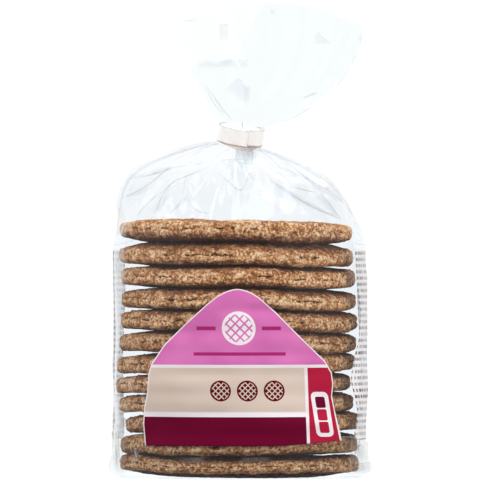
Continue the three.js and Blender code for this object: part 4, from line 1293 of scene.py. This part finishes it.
class STROOPWAFEL_OT_waffles(bpy.types.Operator):
    """Bakes the waffles and stacks them, each with its own bend, crumb and place"""

    bl_idname = "stroopwafel.waffles"
    bl_label = "Waffles"

    def execute(self, context):
        settings = context.scene.stroopwafel_waffles
        material = baked_wafer_material(settings)
        tree = crumb_tree(material)
        fine, plain = waffle_blank(settings, 640, True), waffle_blank(settings, 640, False)
        heights = [height for _, height, _ in WAFFLE_PLACES]
        faces = [(above - below) / 2 for above, below in zip(heights, heights[1:])]
        for index, (slide, height, fall) in enumerate(WAFFLE_PLACES):
            shown = index in (0, len(WAFFLE_PLACES) - 1)
            piece = bpy.data.objects.new(f"waffle_{index + 1:02d}", (fine if shown else plain).data.copy())
            context.scene.collection.objects.link(piece)
            run_tree(piece, tree, {
                "Crumb Depth": settings.crumb_depth, "Crumb Size": settings.crumb_size, "Hole Depth": settings.hole_depth, "Bend": settings.bend,
                "Seed": 3.7 * index, "Turn": 1.9 * index, "Slide": slide, "Height": height, "Fall": fall,
                "Width": WIDTHS[index],
                "Upper Swell": faces[index - 1] - settings.half_thickness if index else -1.2,
                "Lower Swell": (faces[index] if index < len(faces) else height - 0.5) - settings.half_thickness,
                "Dent Depth": 0.0 if index else 1.3, "Dent Place": -12.0, "Unevenness": settings.unevenness,
                "Plumpness": EDGES[index][0], "Droop": EDGES[index][1], "Bake": BAKES_AND_SHADE[index],
                "Upper Toast And Shade": TOASTS_AND_SHADE[index][0], "Lower Toast And Shade": TOASTS_AND_SHADE[index][1],
                # The bottom waffle's underside is painted with shadow.
                "Underside Shadow And Toast": 1.9 if index == len(faces) else TOASTS_AND_SHADE[index][1],
            })
            piece.data.shade_smooth()
            finish_piece(piece, None, "baked_waffle")
        bpy.data.objects.remove(fine)
        bpy.data.objects.remove(plain)
        return {"FINISHED"}


class STROOPWAFEL_OT_caramel(bpy.types.Operator):
    """Fills each waffle with a thin round of caramel that shows where the two wafers part"""

    bl_idname = "stroopwafel.caramel"
    bl_label = "Caramel"

    def execute(self, context):
        material = cooked_caramel_material(context.scene.stroopwafel_waffles)
        around = 240
        turn = np.linspace(0, 2 * math.pi, around, endpoint=False)
        for index, (slide, height, fall) in enumerate(WAFFLE_PLACES):
            edge = WAFFLE_RADIUS - 1.9 + 0.7 * grain(turn * 40.0, index * 7.0, 9.0, 71)
            rings = [(0.5, 0.42), (0.96, 0.42), (1.0, 0.16), (1.0, -0.16), (0.96, -0.42), (0.5, -0.42)]
            vertices = [(0.0, 0.0, 0.42)]
            for share, z in rings:
                vertices += [(r * share * math.cos(t), r * share * math.sin(t), z) for r, t in zip(edge, turn)]
            vertices.append((0.0, 0.0, -0.42))
            faces = [(0, 1 + k, 1 + (k + 1) % around) for k in range(around)]
            faces += map(tuple, grid_faces(len(rings), around, True)[:, ::-1] + 1)
            last = 1 + (len(rings) - 1) * around
            faces += [(last + k, len(vertices) - 1, last + (k + 1) % around) for k in range(around)]
            vertices = np.array(vertices)
            vertices[:, 2] += height - vertices[:, 0] * fall / (2 * WAFFLE_RADIUS)
            vertices[:, 0] += slide
            piece = new_mesh_object(f"caramel_{index + 1:02d}", vertices, faces)
            finish_piece(piece, material, "caramel")
        return {"FINISHED"}


class STROOPWAFEL_OT_film(bpy.types.Operator):
    """Wraps the film round the stack, gathers it into the neck and fans it out above"""

    bl_idname = "stroopwafel.film"
    bl_label = "Film"

    def execute(self, context):
        film = context.scene.stroopwafel_film
        material = clear_film_material(film, "Clear polypropylene film", film.tint)
        loose = clear_film_material(film, "Clear polypropylene film, loose", film.fan_tint)
        folded = clear_film_material(film, "Clear polypropylene film, folded", film.fold_tint)
        grey_corners = clear_film_material(film, "Clear polypropylene film, dusty", film.grey_corner_tint)
        airy = clear_film_material(film, "Clear polypropylene film, loosely folded", film.airy_tint)
        body, shoulder = wrapped_film("body"), wrapped_film("shoulder")
        bottom = []
        for share in np.linspace(0.0, 0.97, 9)[::-1]:
            ring = body[0] * np.array([1 - 0.12 * share, 1 - share, 1.0])
            ring[:, 2] = 0.25 * share
            bottom.append(ring)
        body = np.concatenate([bottom[:-1], body]) + np.array([0.0, 0.0, 0.25])
        wall = sheet_object("film_body", body, True, film.thickness)
        x, y, z = coordinates(wall).T
        give_attribute(wall, "merge", 0.85 * (1 - smoothstep(z, 2.0, 4.5)) * (1 - smoothstep(np.abs(x), 36.0, 44.0)))
        # Beside the front creases the film is dull with fine folds.
        dull = smoothstep(np.abs(x + 1.0), 41.0, 46.5) * (1 - smoothstep(y, -16.0, 0.0))
        dull *= 0.06 + 0.20 * smoothstep(z, 64.0, 82.0) + 0.18 * (1 - smoothstep(z, 12.0, 24.0))
        give_attribute(wall, "crease", dull * (0.8 + 0.4 * grain(x * 3.0, z, 6.0, 91)))
        finish_piece(wall, material, "clear_film", "filled_bag")
        slope = sheet_object("film_shoulder", shoulder, True, film.thickness)
        rise = coordinates(slope)[:, 2]
        give_attribute(slope, "merge", 0.65 * smoothstep(rise, 112.0, 128.0))
        finish_piece(slope, material, "clear_film")
        fan = fan_grid(400, 96)
        finish_piece(sheet_object("film_fan", fan, True, film.thickness), loose, "clear_film")
        front, back = fan[:, 200:], fan[:, :200]
        gather = closed_tube("neck_gather", gather_grid(240, 44))
        height = np.repeat(np.linspace(*GATHER, 44), 240)
        spread = 1.5 - smoothstep(height, -5.0, -3.0) - 0.5 * smoothstep(height, -11.0, -7.0)
        give_attribute(gather, "spread", [*spread, 1.0, 0.0])
        finish_piece(gather, gathered_film_material(film), "clear_film")
        slope, wall = (grid[grid_normals(grid)[..., 1] < 0] for grid in (shoulder, body))
        for name, pleats, creases, surface, cover in (
                ("shoulder_pleats", SHOULDER_PLEATS, SHOULDER_CREASES, slope, folded),
                ("corner_pleats", CORNER_PLEATS, CORNER_CREASES, wall, grey_corners),
                ("fan_pleats", FAN_PLEATS, FAN_CREASES, front.reshape(-1, 3), airy),
                ("fan_back_pleats", BACK_PLY_PLEATS, (), back.reshape(-1, 3), airy)):
            grids = [pleat_grid(corners, surface, 80 + i) for i, corners in enumerate(pleats)]
            grids += [crease_grid(line, surface) for line in creases]
            finish_piece(sheets_object(name, *zip(*grids), film.thickness), cover, "clear_film")
        return {"FINISHED"}


def film_front_depth(x, z):
    """The depth of the film's front at each (x, z), read from the wrapped film."""
    body = wrapped_film("body")
    front = body[:, BODY_AROUND // 2 + BODY_AROUND // 8 :]
    z_rows = front[:, front.shape[1] // 2, 2]
    depth = np.array([np.interp(x, row[:, 0], row[:, 1]) for row in front])
    place = np.interp(z, z_rows, np.arange(len(z_rows)))
    low = np.clip(np.floor(place).astype(int), 0, len(z_rows) - 2)
    share = place - low
    columns = np.arange(len(x))
    return mix(depth[low, columns], depth[low + 1, columns], share)


class STROOPWAFEL_OT_label(bpy.types.Operator):
    """Lays the printed label on the front of the film, over every dip in it"""

    bl_idname = "stroopwafel.label"
    bl_label = "Label"

    def execute(self, context):
        settings = context.scene.stroopwafel_label
        columns = 150
        below = np.linspace(LABEL_BOTTOM, LABEL_SHOULDER, 64, endpoint=False)
        above = LABEL_SHOULDER + (LABEL_TOP - LABEL_SHOULDER) * np.sin(np.linspace(0, math.pi / 2, 70))
        grid, u_rows, v_rows = [], [], []
        for height in [*below, *above]:
            share = np.linspace(0.0, 1.0, columns)
            x = mix(track(LABEL_LEFT, height), track(LABEL_RIGHT, height), share)
            z = height + track(LABEL_FOOT, x) * (1 - smoothstep(height, LABEL_BOTTOM, 30.0))
            grid.append(np.column_stack([x, film_front_depth(x, z) - settings.stand_off, z]))
            u_rows.append(x - COLUMN_LEAN * (LABEL_SHOULDER - z))
            v_rows.append(z)
        grid = np.array(grid)
        grid[..., 1] = smooth_rows(grid[..., 1])
        piece = new_mesh_object("printed_label", grid.reshape(-1, 3), grid_faces(len(grid), columns, False))
        give_uv(piece, np.array(u_rows).ravel(), np.array(v_rows).ravel())
        outline = [(track(LABEL_LEFT, h), h) for h in (*below, *above)]
        outline += [(track(LABEL_RIGHT, h), h) for h in (*above[::-1], *below[::-1])]
        inset, _ = line_distance(grid[..., 0], grid[..., 2], outline)
        give_attribute(piece, "inset", inset.ravel())
        wall = piece.modifiers.new("Wall", "SOLIDIFY")
        wall.thickness, wall.offset = 0.1 * MM, -1.0
        bake_modifiers(piece)
        finish_piece(piece, printed_label_material(settings), "printed_label", "front_label")
        return {"FINISHED"}


def smooth_rows(depth):
    """The label is stiffer than the film, so it bridges the smallest dips."""
    for _ in range(6):
        depth[1:-1] = (depth[:-2] + 2 * depth[1:-1] + depth[2:]) / 4
    return depth


class STROOPWAFEL_OT_side_print(bpy.types.Operator):
    """Adds the milky printed panels on both sides of the film, and the sealed lap down its back"""

    bl_idname = "stroopwafel.side_print"
    bl_label = "Side print and back seam"

    def execute(self, context):
        film = context.scene.stroopwafel_film
        body = wrapped_film("body")
        normals = grid_normals(body)
        side = BODY_AROUND // 8
        rows = np.where((body[:, 0, 2] > 14.5) & (body[:, 0, 2] < 91.5))[0]
        # The left panel is printed fainter: a thinner ground and less ink.
        fresh = side_print_material("Side panel print", film.print_cover, 1.0)
        worn = side_print_material("Side panel print, fainter", 0.6 * film.print_cover, 0.7)
        for name, first, last in (("side_print_right", 1, side - 1),
                                  ("side_print_left", BODY_AROUND // 2 + 1, BODY_AROUND // 2 + int(side * 0.66))):
            columns = np.arange(first, last)
            grid = (body + normals * 0.2)[rows[0] : rows[-1] + 1][:, columns]
            run = np.cumsum(np.linalg.norm(np.diff(grid, axis=1, prepend=grid[:, :1]), axis=2), axis=1)
            piece = sheet_object(name, grid, False, 0.08, (run, grid[..., 2]))
            finish_piece(piece, worn if name.endswith("left") else fresh, "printed_side")
        clear = bpy.data.materials["Clear polypropylene film"]
        middle = side + (BODY_AROUND // 2 - side) // 2
        columns = np.arange(middle - 8, middle + 7)
        lap = (body + normals * 0.35)[3:][:, columns]
        finish_piece(sheet_object("back_lap", lap, False, 0.1), clear, "clear_film")
        return {"FINISHED"}


class STROOPWAFEL_OT_tape(bpy.types.Operator):
    """Winds the paper tape once round the neck and on over its own start"""

    bl_idname = "stroopwafel.tape"
    bl_label = "Neck tape"

    def execute(self, context):
        settings = context.scene.stroopwafel_tape
        lap = 1.35  # radians of tape over tape
        start = -math.pi / 2 + 0.38  # where the outer end lies
        steps, rows = 220, 14
        turn = start + np.linspace(0.0, 2 * math.pi + lap, steps)
        over = 1 - smoothstep(turn, start + lap, start + lap + 0.25)
        outward = 0.45 + settings.thickness + over * (settings.thickness + 0.12)
        askew = mix(0.4, -0.4, np.linspace(0, 1, steps))
        grid = []
        for share in np.linspace(0.0, 1.0, rows):
            height = (share - 0.5) * settings.height
            pinch = 0.12 * np.cos(turn * 9.0 + 3.0 * share) * abs(2 * share - 1) ** 2
            x = (NECK["half_width"] + outward + pinch) * np.cos(turn)
            y = (NECK["half_depth"] + outward + pinch) * np.sin(turn)
            grid.append(on_neck(x, y, askew + height))
        grid = np.array(grid)
        piece = new_mesh_object("paper_tape", grid.reshape(-1, 3), grid_faces(rows, steps, False))
        share = np.repeat(np.linspace(0.0, 1.0, rows), steps)
        # The outermost rows are marked for the grey edge: glue and painted shade.
        give_attribute(piece, "edge", (np.abs(2 * share - 1) > 0.97).astype(float))
        wall = piece.modifiers.new("Wall", "SOLIDIFY")
        wall.thickness, wall.offset = settings.thickness * MM, -1.0
        bake_modifiers(piece)
        finish_piece(piece, paper_tape_material(settings), "tape", "neck_tape")
        return {"FINISHED"}


def scatter_tree(material):
    """Geometry nodes that strew crumbs of mixed sizes over a surface."""
    tree = bpy.data.node_groups.new("Loose crumbs", "GeometryNodeTree")
    face = tree.interface
    face.new_socket("Geometry", in_out="INPUT", socket_type="NodeSocketGeometry")
    for name, kind, default in (("Density", "NodeSocketFloat", 20000.0), ("Smallest", "NodeSocketFloat", 0.15),
                                ("Largest", "NodeSocketFloat", 0.42), ("Seed", "NodeSocketInt", 4)):
        face.new_socket(name, in_out="INPUT", socket_type=kind).default_value = default
    face.new_socket("Geometry", in_out="OUTPUT", socket_type="NodeSocketGeometry")
    entry = add(tree, "NodeGroupInput").outputs
    points = add(tree, "GeometryNodeDistributePointsOnFaces", None, {
        "Mesh": entry["Geometry"], "Density": entry["Density"], "Seed": entry["Seed"]})
    crumb = add(tree, "GeometryNodeMeshIcoSphere", None, {"Radius": MM, "Subdivisions": 2})
    lump = add(tree, "ShaderNodeTexNoise", None, {"Scale": 900.0})
    push = add(tree, "ShaderNodeVectorMath", {"operation": "SCALE"}, {0: lump.outputs["Color"], "Scale": 0.9 * MM})
    crumb = add(tree, "GeometryNodeSetPosition", None, {"Geometry": crumb.outputs[0], "Offset": push.outputs[0]})
    size = add(tree, "FunctionNodeRandomValue", {"data_type": "FLOAT"}, {
        2: entry["Smallest"], 3: entry["Largest"], "Seed": entry["Seed"]})
    spin = add(tree, "FunctionNodeRandomValue", {"data_type": "FLOAT_VECTOR"}, {
        0: (0, 0, 0), 1: (6.3, 6.3, 6.3), "Seed": entry["Seed"]})
    strewn = add(tree, "GeometryNodeInstanceOnPoints", None, {
        "Points": points.outputs[0], "Instance": crumb.outputs[0], "Rotation": spin.outputs[0], "Scale": size.outputs[1]})
    real = add(tree, "GeometryNodeRealizeInstances", None, {"Geometry": strewn.outputs[0]})
    coloured = add(tree, "GeometryNodeSetMaterial", None, {"Geometry": real.outputs[0], "Material": material})
    # Loose crumbs get no painted shade.
    pale = add(tree, "GeometryNodeStoreNamedAttribute", {"data_type": "FLOAT", "domain": "POINT"}, {
        "Geometry": coloured.outputs[0], "Name": "bake", "Value": 1.0})
    add(tree, "NodeGroupOutput", None, {0: pale.outputs[0]})
    return tree


class STROOPWAFEL_OT_crumbs(bpy.types.Operator):
    """Strews loose crumbs along the upper edge of every waffle"""

    bl_idname = "stroopwafel.crumbs"
    bl_label = "Loose crumbs"

    def execute(self, context):
        settings = context.scene.stroopwafel_waffles
        around = 120
        turn = np.linspace(0, 2 * math.pi, around, endpoint=False)
        grids = []
        for index, (slide, height, _) in enumerate(WAFFLE_PLACES):
            crust = coordinates(bpy.data.objects[f"waffle_{index + 1:02d}"])
            crust = crust[(crust[:, 2] > height + 0.8) & (np.hypot(crust[:, 0], crust[:, 1]) > 40.0)]
            for radius in (45.0, 43.0):
                place = np.column_stack([radius * np.cos(turn) + slide, radius * np.sin(turn)])
                nearest = ((crust[None, :, :2] - place[:, None]) ** 2).sum(2).argmin(1)
                grids.append(crust[nearest])
        faces = np.concatenate([grid_faces(2, around, True) + 2 * around * i for i in range(len(WAFFLE_PLACES))])
        piece = new_mesh_object("loose_crumbs", np.concatenate(grids), faces)
        area = len(WAFFLE_PLACES) * math.pi * (45.0**2 - 43.0**2) * MM * MM
        tree = scatter_tree(bpy.data.materials["Baked wafer dough"])
        run_tree(piece, tree, {"Density": settings.crumb_count / area})
        piece.data.shade_smooth()
        finish_piece(piece, None, "baked_waffle")
        return {"FINISHED"}


# ---- The stage


def aim(thing, target):
    thing.rotation_euler = (Vector(target) - thing.location).to_track_quat("-Z", "Y").to_euler()


def add_soft_light(name, place, target, size, power, colour=(1, 1, 1)):
    light = bpy.data.lights.new(name, "AREA")
    light.shape, light.size, light.size_y = "RECTANGLE", *size
    light.energy, light.color = power, colour
    lamp = bpy.data.objects.new(name, light)
    lamp.location = place
    lamp.visible_glossy = False
    bpy.context.scene.collection.objects.link(lamp)
    aim(lamp, target)
    return lamp


def studio_world(settings):
    """A white tent all round. What shines on the bag is dimmer on the camera's side, where the room is."""
    world = bpy.data.worlds.new("Studio")
    world.use_nodes = True
    tree = world.node_tree
    tree.nodes.clear()
    way = add(tree, "ShaderNodeSeparateXYZ", None, {0: add(tree, "ShaderNodeTexCoord").outputs["Generated"]}).outputs
    room = add(tree, "ShaderNodeMapRange", {"interpolation_type": "SMOOTHSTEP"}, {
        "Value": way[1], "From Min": -0.95, "From Max": -0.35, "To Min": 0.38, "To Max": 0.60})
    behind = add(tree, "ShaderNodeMapRange", {"interpolation_type": "SMOOTHSTEP"}, {
        "Value": way[1], "From Min": 0.2, "From Max": 0.6, "To Min": 0.0, "To Max": 0.45})
    room = add(tree, "ShaderNodeMath", {"operation": "ADD"}, {0: room.outputs[0], 1: behind.outputs[0]})
    # Long soft lights hang overhead, a gap apart, so that facets of film turn white or grey as they tilt.
    stripe = add(tree, "ShaderNodeMath", {"operation": "MULTIPLY"}, {0: way[0], 1: 7.0})
    stripe = add(tree, "ShaderNodeMath", {"operation": "SINE"}, {0: stripe.outputs[0]})
    stripe = add(tree, "ShaderNodeMapRange", {"interpolation_type": "SMOOTHSTEP"}, {
        "Value": stripe.outputs[0], "From Min": 0.0, "From Max": 0.5, "To Min": 0.0, "To Max": 1.7})
    above = add(tree, "ShaderNodeMapRange", {"interpolation_type": "SMOOTHSTEP"}, {
        "Value": way[2], "From Min": 0.45, "From Max": 0.7})
    tubes = add(tree, "ShaderNodeMath", {"operation": "MULTIPLY_ADD"}, {
        0: stripe.outputs[0], 1: above.outputs[0], 2: room.outputs[0]})
    seen = add(tree, "ShaderNodeLightPath").outputs["Is Camera Ray"]
    strength = add(tree, "ShaderNodeMix", {"data_type": "FLOAT"}, {0: seen, 2: tubes.outputs[0], 3: settings.backdrop})
    sky = add(tree, "ShaderNodeBackground", None, {"Color": (0.99, 0.995, 1.0, 1), "Strength": strength.outputs[0]})
    add(tree, "ShaderNodeOutputWorld", None, {"Surface": sky.outputs[0]})
    return world


class STROOPWAFEL_OT_stage(bpy.types.Operator):
    """Sets up the pale round table, the studio world, the soft lights and the camera"""

    bl_idname = "stroopwafel.stage"
    bl_label = "Stage"

    def execute(self, context):
        settings = context.scene.stroopwafel_stage
        scene = context.scene
        # A round white table. Towards its rim it glows a little, so that it melts into the tent.
        rings = np.linspace(0.02, 1.0, 12) * settings.table_radius
        turn = np.linspace(0.0, 2 * math.pi, 96, endpoint=False)
        grid = np.array([[(r * math.cos(t), r * math.sin(t), 0.0) for t in turn] for r in rings])
        vertices = [(0.0, 0.0, 0.0), *grid.reshape(-1, 3)]
        faces = [(0, 1 + k, 1 + (k + 1) % 96) for k in range(96)]
        faces += map(tuple, grid_faces(len(rings), 96, True)[:, ::-1] + 1)
        table = new_mesh_object("studio_table", vertices, faces)
        material, tree = new_material("White lacquered table")
        away = add(tree, "ShaderNodeVectorMath", {"operation": "LENGTH"}, {
            0: add(tree, "ShaderNodeTexCoord").outputs["Object"]})
        glow = add(tree, "ShaderNodeMapRange", {"interpolation_type": "SMOOTHSTEP"}, {
            "Value": away.outputs["Value"], "From Min": 0.12, "From Max": 1.0, "To Min": settings.near_glow,
            "To Max": settings.far_glow})
        surface = add(tree, "ShaderNodeBsdfPrincipled", None, {
            "Base Color": srgb(settings.floor), "Roughness": 0.9, "Emission Color": (1, 1, 1, 1),
            "Emission Strength": glow.outputs[0]})
        add(tree, "ShaderNodeOutputMaterial", None, {"Surface": surface.outputs[0]})
        table.data.materials.append(material)

        scene.world = studio_world(settings)
        middle = (0.0, 0.0, 0.09)
        add_soft_light("Key softbox", (-0.55, -1.0, 0.95), middle, (0.7, 0.7), 8.5, (0.965, 1.0, 1.0))
        add_soft_light("Fill softbox", (0.9, -0.9, 0.45), middle, (0.6, 0.9), 4.7, (0.965, 1.0, 1.0))
        add_soft_light("Side softbox", (1.3, -0.25, 0.3), middle, (0.5, 0.8), 3.4, (0.965, 1.0, 1.0))
        add_soft_light("Overhead softbox", (0.0, 0.1, 1.3), middle, (1.0, 1.0), 3.0, (0.965, 1.0, 1.0))

        camera = bpy.data.cameras.new("Camera")
        camera.sensor_width = 36.0
        camera.lens = camera.sensor_width * settings.distance / (settings.view_width * MM)
        eye = bpy.data.objects.new("Camera", camera)
        eye.location = (0.0, -settings.distance, settings.eye_height * MM)
        eye.rotation_euler = (math.pi / 2, 0.0, 0.0)
        scene.collection.objects.link(eye)
        scene.camera = eye
        scene.view_settings.view_transform = "Standard"
        scene.cycles.transparent_max_bounces = 48
        scene.cycles.max_bounces = 10
        return {"FINISHED"}


class STROOPWAFEL_PT_bag(bpy.types.Panel):
    bl_label = "Bag of stroopwafels"
    bl_idname = "STROOPWAFEL_PT_bag"
    bl_space_type = "VIEW_3D"
    bl_region_type = "UI"
    bl_category = "Stroopwafels"

    def draw(self, context):
        for operator in OPERATORS:
            self.layout.operator(operator.bl_idname)


OPERATORS = (
    STROOPWAFEL_OT_stage,
    STROOPWAFEL_OT_waffles,
    STROOPWAFEL_OT_caramel,
    STROOPWAFEL_OT_film,
    STROOPWAFEL_OT_label,
    STROOPWAFEL_OT_side_print,
    STROOPWAFEL_OT_tape,
    STROOPWAFEL_OT_crumbs,
)
SETTINGS = {
    "stroopwafel_waffles": StroopwafelSettings,
    "stroopwafel_film": FilmSettings,
    "stroopwafel_label": LabelSettings,
    "stroopwafel_tape": TapeSettings,
    "stroopwafel_stage": StageSettings,
}


def register():
    for name, group in SETTINGS.items():
        bpy.utils.register_class(group)
        setattr(bpy.types.Scene, name, PointerProperty(type=group))
    for kind in (*OPERATORS, STROOPWAFEL_PT_bag):
        bpy.utils.register_class(kind)


def unregister():
    for kind in (STROOPWAFEL_PT_bag, *reversed(OPERATORS)):
        bpy.utils.unregister_class(kind)
    for name, group in reversed(SETTINGS.items()):
        delattr(bpy.types.Scene, name)
        bpy.utils.unregister_class(group)


def main():
    register()
    for operator in OPERATORS:
        group, name = operator.bl_idname.split(".")
        getattr(getattr(bpy.ops, group), name)()


if __name__ == "__main__":
    main()
